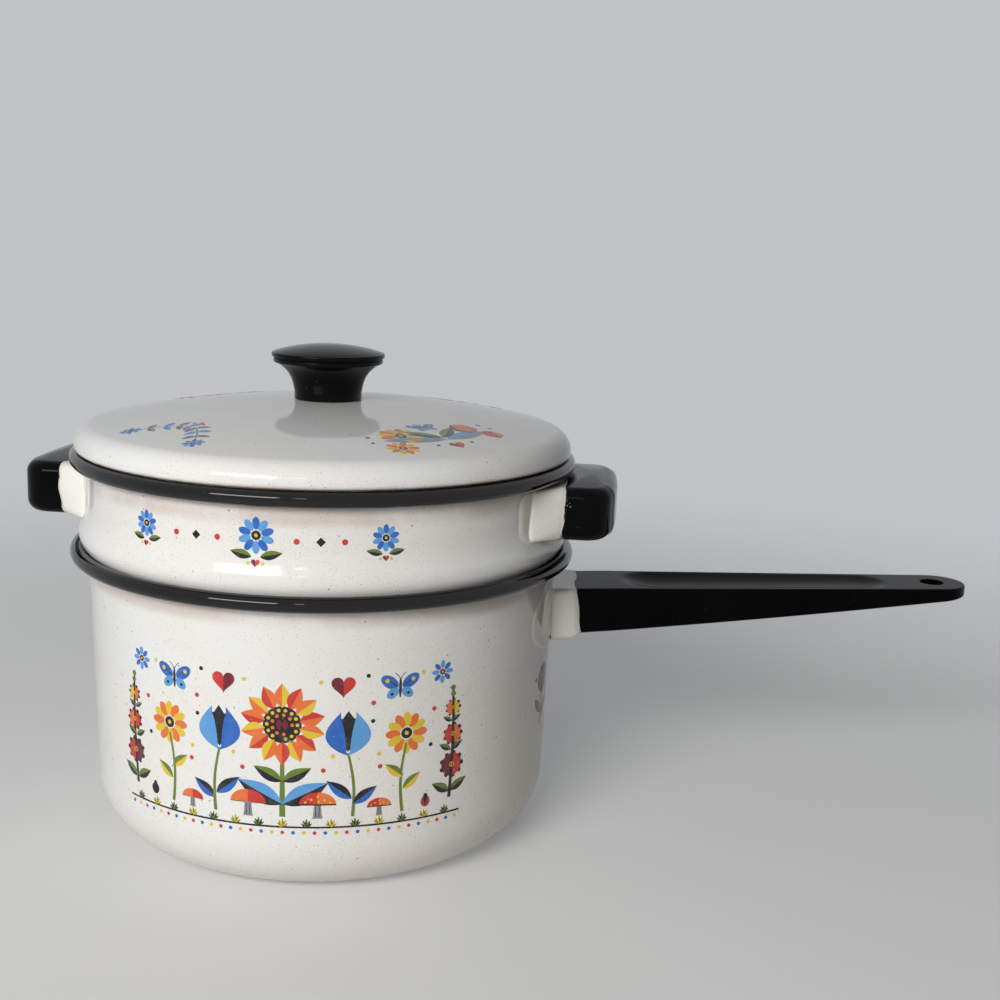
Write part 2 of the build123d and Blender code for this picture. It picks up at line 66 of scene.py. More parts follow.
# Sheet and rolled rims
sheet = 1.2 * mm
half_sheet = sheet / 2
bead_radius = 3.0 * mm
flare_angle = 40
flare_bend = 4.0 * mm
roll_opening = 75
seat_gap = 0.3 * mm

# Lower pot
lower_overhang = 7.3 * mm
lower_taper = 1.4
lower_corner = 24.8 * mm

# Upper pot
upper_overhang = 6.1 * mm
bulge_radius = 8.0 * mm
bulge_inset = 3.7 * mm
bulge_turn = 25
insert_play = 1.73 * mm
insert_corner = 14.0 * mm
shoulder_fillet = 2.5 * mm

# Lid
dome_radius = 463 * mm
lid_edge_radius = 8.5 * mm
lid_skirt = 0.18 * mm
lid_turn_radius = 1.5 * mm
lid_flange_depth = 9.0 * mm
lid_flange_play = 0.7 * mm
lid_flange_fillet = 1.5 * mm

# Knob
knob_foot_radius = 13.85 * mm
knob_foot_height = 3.0 * mm
knob_neck_height = 12.0 * mm
knob_lower_ridge = 1.8 * mm
knob_groove = 0.4 * mm
knob_upper_ridge = 2.0 * mm
knob_ridge_step = 0.7 * mm
knob_ridge_bulge = 0.7 * mm
knob_crown_edge = 0.5 * mm
knob_foot_edge = 0.4 * mm
knob_neck_hollow = 3.6

# Long handle
handle_root_width = 34.4 * mm
handle_root_height = 19.8 * mm
handle_end_width = 25.6 * mm
handle_end_height = 4.4 * mm
handle_edge = 1.4 * mm
handle_edge_least = 0.25
handle_belly = 0.7 * mm
handle_inset = 0.25 * mm
hang_hole_radius = 5.0 * mm
hang_hole_inset = 14.3 * mm
hang_hole_lip = 0.5 * mm
trough_lead = 21.4 * mm
trough_length = 117.0 * mm
trough_margin = 2.4 * mm
trough_depth = 2.6 * mm
trough_lip = 0.3 * mm

# Side grips
grip_turn = -11.2
grip_drop = 6.8 * mm
grip_height = 21.2 * mm
grip_width = 66.4 * mm
grip_stand = 4.7 * mm
grip_reach = 19.4 * mm
grip_bulge = 1.6 * mm
grip_corner = 11.0 * mm
grip_edge = 5.0 * mm
grip_crown = 1.2 * mm

# Bracket pressings. Each is a thin plate on the wall and a cup: its foot on the wall is wider than its lip
plate_lift = 0.4 * mm
plate_edge = 2.4 * mm
plate_clear = 1.7 * mm
plate_sunk = 0.4 * mm
plate_tuck = 0.05 * mm
cup_fillet = 0.5 * mm
lip_radius = 0.7 * mm
lip_wave = 0.3 * mm
lip_hollow = 1.2 * mm
seam_overlap = 0.8 * mm
handle_plate_width = 100 * mm
handle_plate_height = 35 * mm
handle_plate_rise = 2.2 * mm
handle_plate_round = 0.45
handle_foot_width = 38.4 * mm
handle_foot_height = 22.0 * mm
handle_foot_rise = -1.1 * mm
handle_foot_corner = 2.4 * mm
grip_plate_width = 97 * mm
grip_plate_height = 21.4 * mm
grip_plate_corner = 6.0 * mm
grip_foot_width = 82.0 * mm
grip_foot_height = 20.0 * mm
grip_foot_rise = 0.5 * mm
grip_foot_corner = 1.9 * mm
grip_foot_splay = 0.035
handle_cup_ease = 5
grip_cup_ease = 1.1

# Fineness of the meshes
turns_around = 256
knob_turns = 192
cutter_turns = 64
path_step = 5 * mm
grip_step = 4 * mm
knob_step = 3 * mm
arc_steps = 14
merge_distance = 0.001 * mm


def arc(centre, radius, start, sweep, steps=arc_steps):
    """Points on a circle, from a start angle through a sweep."""
    angles = np.radians(start + sweep * np.linspace(0, 1, steps + 1))
    return np.stack([centre[0] + radius * np.cos(angles), centre[1] + radius * np.sin(angles)], 1)


def rounded_path(points, radii):
    """A path through points, each inner corner replaced by the arc that touches both of its runs."""
    points = [np.array(p, float) for p in points]
    pieces = [points[0][None]]
    for before, corner, after, radius in zip(points, points[1:], points[2:], radii):
        back = (before - corner) / np.linalg.norm(before - corner)
        on = (after - corner) / np.linalg.norm(after - corner)
        half = acos(back @ on) / 2
        centre = corner + (back + on) / np.linalg.norm(back + on) * radius / sin(half)
        first = corner + back * radius / tan(half) - centre
        last = corner + on * radius / tan(half) - centre
        start = degrees(atan2(first[1], first[0]))
        sweep = (degrees(atan2(last[1], last[0])) - start + 180) % 360 - 180
        pieces.append(arc(centre, radius, start, sweep))
    return np.concatenate(pieces + [points[-1][None]])


def along(path):
    """Distance along a path at each of its points."""
    return np.concatenate([[0], np.cumsum(np.linalg.norm(np.diff(path, axis=0), axis=1))])


def finer(path, step=path_step):
    """The same path with more points, so that no run is longer than the step. Doubled points go."""
    path = path[np.concatenate([[True], np.linalg.norm(np.diff(path, axis=0), axis=1) > merge_distance])]
    reach = along(path)
    more = np.arange(step, reach[-1], step)
    more = more[np.min(np.abs(more[:, None] - reach[None]), axis=1) > step / 4]
    places = np.sort(np.concatenate([reach, more]))
    return np.stack([np.interp(places, reach, path[:, 0]), np.interp(places, reach, path[:, 1])], 1)


def grid_faces(rows, columns, wrap):
    """Four-sided faces of a grid whose columns follow each other, closed round where wrap is true."""
    row, column = np.meshgrid(np.arange(rows - 1), np.arange(columns if wrap else columns - 1), indexing="ij")
    here, beside = row * columns + column, row * columns + (column + 1) % columns
    return np.stack([here, beside, beside + columns, here + columns], -1).reshape(-1, 4)


def clean_mesh(mesh, closed):
    """Merges doubled points, drops empty faces, and on a closed shape turns the faces out."""
    shape = bmesh.new()
    shape.from_mesh(mesh)
    bmesh.ops.remove_doubles(shape, verts=shape.verts, dist=merge_distance)
    bmesh.ops.dissolve_degenerate(shape, dist=merge_distance / 4, edges=shape.edges)
    if closed:
        bmesh.ops.recalc_face_normals(shape, faces=shape.faces)
    shape.to_mesh(mesh)
    shape.free()
    mesh.shade_smooth()


def new_object(name, data):
    """A new object in the scene, at the origin."""
    made = bpy.data.objects.new(name, data)
    bpy.context.scene.collection.objects.link(made)
    return made


def new_piece(name, points, faces):
    """A new mesh object from points and faces."""
    mesh = bpy.data.meshes.new(name)
    mesh.from_pydata(points.reshape(-1, 3).tolist(), [], faces.tolist())
    return new_object(name, mesh)


def add_piece(name, points, body, nodes=(), sharp=35, values=None):
    """A piece from a grid closed round. It rides on a body and keeps its edges past the sharp angle."""
    piece = new_piece(name, points, grid_faces(*points.shape[:2], True))
    for key, column in (values or {}).items():
        written = piece.data.attributes.new(key, "FLOAT", "POINT")
        written.data.foreach_set("value", np.ravel(column).astype(np.float32))
    clean_mesh(piece.data, True)
    piece.data.set_sharp_from_angle(angle=radians(sharp))
    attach(piece, body)
    if nodes:
        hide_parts(*nodes)
    return piece


def turned(outline, steps=turns_around):
    """Points of an outline of radius and height, turned once round the axis."""
    angles = np.linspace(0, 2 * pi, steps, endpoint=False)
    x = outline[:, 0, None] * np.cos(angles)
    y = outline[:, 0, None] * np.sin(angles)
    return np.stack([x, y, np.broadcast_to(outline[:, 1, None], x.shape)], -1)


def both_faces(path):
    """Outline of a sheet around its middle path: out along the right face, round the end, back on the left.

    Also gives the place along the path of each point, and 1 for the right face or -1 for the left one.
    """
    reach = along(path)
    run = np.gradient(path, reach, axis=0)
    run /= np.linalg.norm(run, axis=1)[:, None]
    right = np.stack([run[:, 1], -run[:, 0]], 1) * half_sheet
    end_turn = degrees(atan2(right[-1, 1], right[-1, 0]))
    cap = arc(path[-1], half_sheet, end_turn, 180, 6)[1:-1]
    outline = np.concatenate([path + right, cap, (path - right)[::-1]])
    outline[[0, -1], 0] = 0
    place = np.concatenate([reach, np.full(len(cap), reach[-1]), reach[::-1]])
    face = np.concatenate([np.ones(len(path)), np.zeros(len(cap)), -np.ones(len(path))])
    return outline, place, face


def flare_run(bead, wall, slope):
    """Foot and top of the flare on the sheet's middle: wall line and bead's tangent meet at the foot."""
    rise = np.array([cos(radians(flare_angle)), sin(radians(flare_angle))])
    middle = bead_radius - half_sheet
    top = np.array([bead[0] - middle * rise[1], bead[1] + middle * rise[0]])
    length = (top[0] - wall - slope * top[1]) / (rise[0] - slope * rise[1])
    return top - length * rise, top


def bead_roll(bead):
    """The rolled rim: nearly a whole turn of the sheet's middle around the bead's centre."""
    return arc(bead, bead_radius - half_sheet, 90 + flare_angle, roll_opening - 360, 48)


# Wall of the lower pot, as the radius of its outer face at the table and its growth with height
wall_slope = tan(radians(lower_taper))
lower_wall = lower_top.x - lower_overhang - lower_top.z * wall_slope
lower_bead = np.array([lower_top.x - bead_radius, lower_top.z - bead_radius])
upper_bead = np.array([upper_top.x - bead_radius, upper_top.z - bead_radius])
band_radius = upper_top.x - upper_overhang

# Bulge of the upper pot, seated on the inner face of the lower flare
inner_flare = lower_bead + bead_radius * np.array([-sin(radians(flare_angle)), cos(radians(flare_angle))])
bulge_x = lower_top.x - bulge_inset - bulge_radius
bulge_lift = bulge_radius + seat_gap + (bulge_x - inner_flare[0]) * sin(radians(flare_angle))
bulge = np.array([bulge_x, inner_flare[1] + bulge_lift / cos(radians(flare_angle))])
bulge_rise = np.array([cos(radians(bulge_turn)), sin(radians(bulge_turn))])
neck_radius = (bulge[0] + bulge_radius * bulge_rise[0] - band_radius) / (1 - bulge_rise[0])
neck = bulge + (bulge_radius + neck_radius) * bulge_rise

# Shoulder that leads from the insert out to the bulge
insert_radius = lower_wall - sheet + upper_floor * wall_slope - insert_play
shoulder_x = insert_radius + shoulder_fillet
shoulder_drop = sqrt((bulge_radius + shoulder_fillet) ** 2 - (shoulder_x - bulge[0]) ** 2)
shoulder_angle = degrees(atan2(shoulder_drop, bulge[0] - shoulder_x))

# Lid, seated on the upper bead
lid_seat = upper_top.z + seat_gap
lid_edge_x = lid_high.x - lid_edge_radius
lid_edge = np.array([lid_edge_x, lid_seat + lid_turn_radius + lid_skirt])
dome_rise = sqrt((dome_radius - lid_edge_radius) ** 2 - lid_edge_x ** 2)
dome_angle = degrees(atan2(dome_rise, lid_edge_x))


def lower_path():
    """Middle of the lower pot's sheet: floor, round corner, leaning wall, flare and rolled rim."""
    middle_wall = lower_wall - half_sheet / cos(radians(lower_taper))
    foot, top = flare_run(lower_bead, middle_wall, wall_slope)
    corner = (middle_wall + half_sheet * wall_slope, half_sheet)
    bends = (lower_corner - half_sheet, flare_bend - half_sheet)
    runs = rounded_path([(0, half_sheet), corner, foot, top], bends)
    return finer(runs), finer(bead_roll(lower_bead))


def upper_path():
    """Middle of the upper pot's sheet: insert, shoulder, bulge, neck, band, flare and rolled rim."""
    middle_wall = insert_radius - half_sheet
    floor = upper_floor + half_sheet
    shoulder = (shoulder_x, bulge[1] - shoulder_drop)
    foot, top = flare_run(upper_bead, band_radius - half_sheet, 0)
    corners = [(0, floor), (middle_wall, floor), (middle_wall, shoulder[1])]
    insert = rounded_path(corners, (insert_corner - half_sheet,))
    runs = np.concatenate([
        insert,
        arc(shoulder, shoulder_fillet + half_sheet, 180, shoulder_angle - 180),
        arc(bulge, bulge_radius - half_sheet, shoulder_angle - 180, 180 - shoulder_angle + bulge_turn, 40),
        arc(neck, neck_radius + half_sheet, 180 + bulge_turn, -bulge_turn),
        rounded_path([(band_radius - half_sheet, neck[1]), foot, top], (flare_bend - half_sheet,)),
    ])
    return finer(runs), finer(bead_roll(upper_bead))


def lid_path():
    """Middle of the lid's sheet: dome, round edge, turned seat and the flange that keeps it centred."""
    turn = (lid_high.x - lid_turn_radius, lid_seat + lid_turn_radius)
    flange = band_radius - sheet - lid_flange_play - half_sheet
    seat = lid_seat + half_sheet
    dome = (0, lid_edge[1] - dome_rise)
    return finer(np.concatenate([
        arc(dome, dome_radius - half_sheet, 90, dome_angle - 90, 24),
        arc(lid_edge, lid_edge_radius - half_sheet, dome_angle, -dome_angle, 28),
        arc(turn, lid_turn_radius - half_sheet, 0, -90, 8),
        rounded_path(
            [(turn[0], seat), (flange, seat), (flange, lid_seat - lid_flange_depth)],
            (lid_flange_fillet + half_sheet,),
        ),
    ]))


# How far the black enamel of the rims runs down the flare, inside and outside
black_inside = 6.5 * mm
black_outside = 0.6 * mm


def turned_pot(name, path, body):
    """A pot turned from its sheet. The value rim says how far, in millimetres, a point is into the black."""
    runs, bead = path
    whole = np.concatenate([runs, bead[1:]])
    outline, place, face = both_faces(whole)
    start = along(runs)[-1] - np.where(face > 0, black_outside, black_inside)
    points = turned(outline)
    rim = np.broadcast_to(((place - start) / mm)[:, None], points.shape[:2])
    add_piece(name + "_enamel", points, body, (name,), values={"rim": rim})


turned_pot("lower_pot", lower_path(), "lower")
turned_pot("upper_pot", upper_path(), "upper")
lid_outline = both_faces(lid_path())[0]
lid_outline[:, 0] = np.maximum(lid_outline[:, 0], 0)
add_piece("lid_enamel", turned(lid_outline), "cover", ("lid",))


def knob_ridge(low, height, reach):
    """Outline of one ridge round the knob: a bulge whose reach is a power of the cosine up its side."""
    turn = np.linspace(-pi / 2, pi / 2, 17)
    x = reach - knob_ridge_bulge + knob_ridge_bulge * np.maximum(np.cos(turn), 0) ** 0.6
    return np.stack([x, low + height / 2 * (1 + np.sin(turn))], 1)


def knob_outline():
    """Outline of the turned knob: foot, hollow neck, two ridges with a groove, and a shallow crown.

    The neck widens by the height and a power of it. The crown is a parabola mixed with its square root.
    """
    low = knob_low.z
    neck_high = low + knob_foot_height + knob_neck_height
    neck_reach = knob_high.x - knob_ridge_step - knob_ridge_bulge
    upper_low = neck_high + knob_lower_ridge + knob_groove
    crown_low = upper_low + knob_upper_ridge
    crown_reach = knob_high.x - knob_ridge_bulge
    rise = np.linspace(0, 1, 40)
    hollow = knob_foot_radius + (neck_reach - knob_foot_radius) * (0.3 * rise + 0.7 * rise ** knob_neck_hollow)
    neck_run = np.stack([hollow, low + knob_foot_height + knob_neck_height * rise], 1)
    foot = rounded_path(
        [(0, low), (knob_foot_radius, low), (knob_foot_radius, low + knob_foot_height)], (knob_foot_edge,)
    )
    lower_ridge = knob_ridge(neck_high, knob_lower_ridge, knob_high.x - knob_ridge_step)
    groove = [(neck_reach, neck_high + knob_lower_ridge + knob_groove / 2)]
    upper_ridge = knob_ridge(upper_low, knob_upper_ridge, knob_high.x)
    crown_height = knob_high.z - crown_low
    across = np.linspace(crown_reach - knob_crown_edge, 0, 32)
    shape = 1 - (across / crown_reach) ** 2
    crown = np.stack([across, crown_low + crown_height * (0.8 * shape + 0.2 * np.sqrt(shape))], 1)
    return finer(np.concatenate([foot, neck_run, lower_ridge, groove, upper_ridge, crown]), knob_step)


add_piece("turned_knob", turned(knob_outline(), knob_turns), "cover", ("knob",), sharp=50)

# Long handle, in plan: a tapered bar whose round tip touches both sides
handle_seam = handle_low.x
handle_tip = handle_high.x
handle_top = handle_high.z
handle_length = handle_tip - handle_seam
side_slope = (handle_end_width - handle_root_width) / 2 / handle_length
side_cosine = cos(atan2(side_slope, 1))
tip_radius = handle_end_width / 2 * side_cosine / (1 + side_slope * side_cosine)
tip_x = handle_tip - tip_radius
mould_line_drop = 3.7 * mm
mould_line_width = 0.16 * mm
mould_line_rise = 0.14 * mm
mould_line_end = 40 * mm
seam_reach = 16 * mm


def handle_half_width(x):
    """Half the handle's width at a distance out, which shrinks in proportion to it. The tip is left out."""
    return handle_root_width / 2 + side_slope * (x - handle_seam)


def handle_depth(x):
    """The handle's height at a distance out: a straight taper to the tip, and a slight belly by a sine."""
    share = np.clip((x - handle_seam) / handle_length, 0, 1)
    taper = (handle_end_height - handle_root_height) * share
    return handle_root_height + taper + handle_belly * np.sin(pi * share)


def seam_shift(across, drop):
    """How far out the seam runs: across goes from -1 to 1, drop from 0 at the top to 1.

    It steps from the near to the far side by a hyperbolic tangent, and leans outwards down the near side.
    """
    return (0.4 + 2.2 * np.tanh(1.8 * (across + 0.25)) + (1.8 - 1.3 * across) * drop) * mm


def trough_drop(x, y):
    """Depth of the thumb trough: a bar of circular section sunk in the top, its ends round and lip soft."""
    start = handle_seam + trough_lead
    end = start + trough_length
    half_first, half_last = handle_half_width(start) - trough_margin, handle_half_width(end) - trough_margin
    above = (half_first ** 2 - trough_depth ** 2) / (2 * trough_depth)
    first, last = start + half_first, end - half_last
    share = np.clip((x - first) / (last - first), 0, 1)
    radius = above + trough_depth + (sqrt(half_last ** 2 + above ** 2) - above - trough_depth) * share
    past = np.maximum(first - x, 0) + np.maximum(x - last, 0)
    drop = np.sqrt(np.maximum(radius ** 2 - past ** 2 - y ** 2, 0)) - above
    return (drop + np.sqrt(drop ** 2 + trough_lip ** 2)) / 2


def handle_points():
    """Rings of the handle: top, side, underside and the other side, at each distance out.

    A quarter circle rounds the top and the underside by the distance from the outline. The mould line is a
    bell curve on the sides that fades away from the seam.
    """
    straight = np.linspace(handle_seam - seam_overlap, tip_x, 150)
    tip = tip_x + tip_radius * np.sin(np.linspace(0, pi / 2, 40)[1:])
    x = np.concatenate([straight, tip])[:, None]
    past = np.clip((x - tip_x) / tip_radius, 0, 1)
    round_width = tip_radius * np.sqrt(1 - past ** 2)
    outline = np.where(x > tip_x, np.minimum(handle_half_width(x), round_width), handle_half_width(x))
    near_seam = np.clip(1 - (x - handle_seam) / seam_reach, 0, 1)
    outline = outline - handle_inset * near_seam
    across = np.sin(pi / 2 * np.linspace(-1, 1, 61))
    depth = handle_depth(x)
    edge = handle_edge * (depth / handle_root_height + handle_edge_least)

    def rounding(y):
        """How far the surface falls at y, from the nearest outline."""
        side = (outline - np.abs(y)) * side_cosine
        end = np.where(x > tip_x, tip_radius - np.hypot(x - tip_x, y), side)
        inside = np.maximum(edge - np.clip(np.minimum(side, end), 0, None), 0)
        return edge - np.sqrt(np.maximum(edge ** 2 - inside ** 2, 0))

    y = across * outline
    top = handle_top - handle_inset * near_seam - rounding(y) - trough_drop(x, y)
    bottom = handle_top - depth + handle_inset * near_seam + rounding(y)
    share = np.linspace(0, 1, 26)[1:-1]
    side_z = (handle_top - edge) * (1 - share) + (handle_top - depth + edge) * share
    ridge_z = handle_top - mould_line_drop
    nearest = np.argmin(np.abs(side_z - ridge_z), axis=1)
    rows = np.arange(len(side_z))
    high_enough = side_z[:, 0] > ridge_z
    side_z[rows, nearest] = np.where(high_enough, ridge_z, side_z[rows, nearest])
    fade = np.clip(1 - (x - handle_seam) / mould_line_end, 0, 1)
    ridge = mould_line_rise * fade * np.exp(-(((side_z - ridge_z) / mould_line_width) ** 2))
    ring_y = np.concatenate([y[:, ::-1], -outline - ridge, y, (outline + ridge)[:, ::-1]], 1)
    ring_z = np.concatenate([top[:, ::-1], side_z, bottom, side_z[:, ::-1]], 1)
    shift = seam_shift(ring_y / handle_root_width * 2, (handle_top - ring_z) / handle_root_height)
    ring_x = x + shift * near_seam ** 2
    rings = np.stack([ring_x, ring_y, ring_z], -1)
    shrink = np.linspace(0, 1, 5)[:-1, None, None]
    cap = rings[0].mean(0) + (rings[0] - rings[0].mean(0)) * shrink
    return np.concatenate([cap, rings])


def apply_modifiers(piece, sharp):
    """Turns a piece and its modifiers into one plain mesh, with edges past the sharp angle kept."""
    bpy.context.view_layer.update()
    evaluated = piece.evaluated_get(bpy.context.evaluated_depsgraph_get())
    mesh = bpy.data.meshes.new_from_object(evaluated)
    mesh.name = piece.name
    piece.modifiers.clear()
    piece.data = mesh
    mesh.set_sharp_from_angle(angle=radians(sharp))
    return mesh


def apply_cut(piece, cutter):
    """Takes the cutter out of a piece and throws the cutter away."""
    cut = piece.modifiers.new("cut", "BOOLEAN")
    cut.operation = "DIFFERENCE"
    cut.solver = "EXACT"
    cut.object = cutter
    apply_modifiers(piece, 50)
    bpy.data.objects.remove(cutter)


def make_cutter(outline, x, y):
    """A turned cutter about an upright axis."""
    return add_piece("cutter", turned(outline, cutter_turns) + np.array([x, y, 0]), "lower")


handle_piece = add_piece(
    "phenolic_handle", handle_points(), "lower", ("long_handle",), sharp=40
)
hang_hole_x = handle_tip - hang_hole_inset
hole_bottom = handle_top - handle_depth(hang_hole_x)
hole_clear = 2 * mm
lip_out = hang_hole_radius + hang_hole_lip
hole_cutter = np.concatenate([
    [(0, hole_bottom - hole_clear), (lip_out, hole_bottom - hole_clear)],
    arc((lip_out, hole_bottom + hang_hole_lip), hang_hole_lip, 270, -90, 6),
    arc((lip_out, handle_top - hang_hole_lip), hang_hole_lip, 180, -90, 6),
    [(lip_out, handle_top + hole_clear), (0, handle_top + hole_clear)],
])
apply_cut(handle_piece, make_cutter(hole_cutter, hang_hole_x, 0))


def rounded_box(width, height, corner, corner_steps=8, side_steps=12):
    """Outline of a rectangle with round corners, with the same number of points for any size."""
    quarter = np.linspace(0, pi / 2, corner_steps + 1)
    signs = ((1, 1), (-1, 1), (-1, -1), (1, -1))
    corners = [
        np.stack([
            sx * (width / 2 - corner) + corner * np.cos(quarter + turn * pi / 2),
            sy * (height / 2 - corner) + corner * np.sin(quarter + turn * pi / 2),
        ], 1)
        for turn, (sx, sy) in enumerate(signs)
    ]
    share = np.linspace(0, 1, side_steps + 1)[1:-1, None]
    following = corners[1:] + corners[:1]
    sides = [here[-1] * (1 - share) + there[0] * share for here, there in zip(corners, following)]
    return np.concatenate([part for pair in zip(corners, sides) for part in pair])


def faced(turn, out, across, up):
    """Points from distances out from the axis, across and up, at a turn about Z."""
    c, s = cos(radians(turn)), sin(radians(turn))
    return np.stack([out * c - across * s, out * s + across * c, up], -1)


def bracket_points(turn, middle, plate, foot, lip, ease, plate_top, seam, shift_at, wall_at, phase):
    """Rings of a pressed bracket: base, soft-edged plate on the wall, fillet, cup, wavy lip and end.

    Plate, foot and lip are outlines across and up. The cup's outline goes from foot to lip by a power of the
    way to the seam, and a ring lies either at a lift from the wall or on that way.
    """
    turn_in = np.linspace(0, pi / 2, 7)
    rings, outs = [], []

    def out_at(outline, lift):
        radius = wall_at(middle + outline[:, 1]) + lift
        return np.sqrt(radius ** 2 - outline[:, 0] ** 2)

    def ring(outline, out):
        rings.append(outline)
        outs.append(out)

    def drawn_in(outline, by):
        """An outline with its half width and half height made smaller by a length, and its top cut level."""
        half = np.abs(outline).max(0)
        smaller = outline * (half - by) / half
        return np.minimum(smaller, (np.inf, plate_top - middle - by))

    base = drawn_in(plate, 0)
    for share in np.linspace(0, 1, 9):
        ring(base * share, out_at(base * share, -plate_sunk))
    for share in np.linspace(0, 1, 8):
        edge = drawn_in(plate, plate_edge * share)
        ring(edge, out_at(edge, plate_lift * (3 * share ** 2 - 2 * share ** 3) - plate_tuck))
    grown = foot * (1 + cup_fillet / np.abs(foot).max(0))
    for share in (0.25, 0.5, 0.75, 0.97):
        between = rings[-1] * (1 - share) + grown * share
        ring(between, out_at(between, plate_lift))
    for angle in turn_in:
        outline = foot * (1 + cup_fillet * (1 - sin(angle)) / np.abs(foot).max(0))
        ring(outline, out_at(outline, plate_lift + cup_fillet * (1 - cos(angle))))
    start = outs[-1]
    width, height = 2 * np.abs(lip).max(0)
    round_about = np.linspace(0, 2 * pi, len(lip), endpoint=False)
    wave = lip_wave * (np.sin(3 * round_about + phase) + 0.7 * np.sin(7 * round_about + 2 * phase))
    shift = shift_at(lip[:, 0] / width * 2, 0.5 - lip[:, 1] / height)
    end = seam + shift + wave
    for share in np.linspace(0, 1, 15)[1:]:
        ring(foot + (lip - foot) * share ** ease, start + (end - lip_radius - start) * share)
    for angle in turn_in[1:]:
        inset = lip_radius * (1 - cos(angle))
        ring(lip * (1 - inset / np.abs(lip).max(0)), end - lip_radius * (1 - sin(angle)))
    inner = rings[-1]
    flat = seam + shift - lip_hollow
    ring(inner * 0.97, flat)
    for share in (0.6, 0.3, 0):
        ring(inner * share, flat * share + flat.mean() * (1 - share))
    rings, outs = np.array(rings), np.array(outs)
    to_lip = np.clip((end - outs) / mm, 0, 30)
    return faced(turn, outs, rings[..., 0], middle + rings[..., 1]), to_lip


def add_bracket(name, body, *sizes):
    """A bracket piece. The value to_lip is the distance from its lip in millimetres."""
    points, to_lip = bracket_points(*sizes)
    values = {"to_lip": to_lip}
    add_piece(name + "_pressing", points, body, (name,), sharp=60, values=values)


def lower_wall_at(z):
    """Outer radius of the lower pot's leaning wall."""
    return lower_wall + wall_slope * z


def upper_wall_at(z):
    """Outer radius of the upper pot: one value up the band, and the arc of the hollow neck below it."""
    dip = np.sqrt(np.maximum(neck_radius ** 2 - np.minimum(z - neck[1], 0) ** 2, 0))
    return np.where(z < neck[1], neck[0] - dip, band_radius)


handle_plate = rounded_box(1, 1, handle_plate_round) * (handle_plate_width, handle_plate_height)
handle_foot = rounded_box(handle_foot_width, handle_foot_height, handle_foot_corner)
handle_lip = rounded_box(handle_root_width, handle_root_height, handle_edge * (1 + handle_edge_least))
lower_flare_foot = flare_run(lower_bead, lower_wall, wall_slope)[0][1]
add_bracket(
    "handle_bracket", "lower", 0, handle_top - handle_root_height / 2,
    handle_plate + (0, handle_plate_rise), handle_foot + (0, handle_foot_rise), handle_lip, handle_cup_ease,
    lower_flare_foot - plate_clear, handle_seam, seam_shift, lower_wall_at, 1.2,
)

# Side grips: a block whose plan is straight at the seam and round at its outer corners
grip_seam = band_radius + grip_stand
grip_top = upper_top.z - grip_drop


def grip_plan():
    """Free edge of a grip in plan, out and across, from seam end to seam end, and its inward normal."""
    side_x = grip_seam + grip_reach - grip_bulge
    chord = grip_width / 2
    outer_radius = (chord ** 2 + grip_bulge ** 2) / (2 * grip_bulge)
    side = np.stack([np.linspace(grip_seam, side_x - grip_corner, 8), np.full(8, -chord)], 1)
    corner = arc((side_x - grip_corner, -chord + grip_corner), grip_corner, 270, 90 - 9, 16)
    half_turn = degrees(atan2(chord - grip_corner, outer_radius))
    outer = arc((grip_seam + grip_reach - outer_radius, 0), outer_radius, -half_turn, half_turn, 14)
    lower_half = finer(np.concatenate([side, corner[1:], outer[1:]]), grip_step)
    upper_half = (lower_half * (1, -1))[::-1]
    plan = np.concatenate([lower_half, upper_half[1:]])
    run = np.gradient(plan, along(plan), axis=0)
    run /= np.linalg.norm(run, axis=1)[:, None]
    inward = np.stack([-run[:, 1], run[:, 0]], 1)
    inward[[0, -1]] = (0, 1), (0, -1)
    return plan, inward


def grip_points(turn):
    """Rings of a grip: the plan drawn in by the edge radius towards the top and the underside."""
    plan, inward = grip_plan()
    plan[[0, -1], 0] -= seam_overlap
    bend = np.linspace(0, pi / 2, 10)
    inset = np.concatenate([grip_edge * (1 - np.sin(bend)), grip_edge * (1 - np.cos(bend))])
    low, high = grip_top - grip_height, grip_top
    heights = np.concatenate([low + grip_edge * (1 - np.cos(bend)), high - grip_edge * (1 - np.sin(bend))])
    seam_share = np.linspace(0, 1, 14)[1:-1, None]
    rings = []
    for drawn, height in zip(inset + handle_inset, heights):
        edge = plan + inward * drawn
        seam_run = edge[-1] * (1 - seam_share) + edge[0] * seam_share
        ring = np.concatenate([edge, seam_run])
        rings.append(np.column_stack([ring, np.full(len(ring), height)]))
    rings = np.array(rings)
    shares = np.linspace(0, 1, 7)[:-1, None, None]
    first, last = rings[0].mean(0), rings[-1].mean(0)
    below = first + (rings[0] - first) * shares
    above = last + (rings[-1] - last) * shares[::-1]
    above[..., 2] += grip_crown * (1 - shares[::-1, :, 0] ** 2)
    rings = np.concatenate([below, rings, above])
    return faced(turn, rings[..., 0], rings[..., 1], rings[..., 2])


def grip_seam_shift(across, drop):
    """A grip's seam runs further out in proportion to the way across and the way up."""
    return (0.5 * across + 0.8 * (0.4 - drop)) * mm


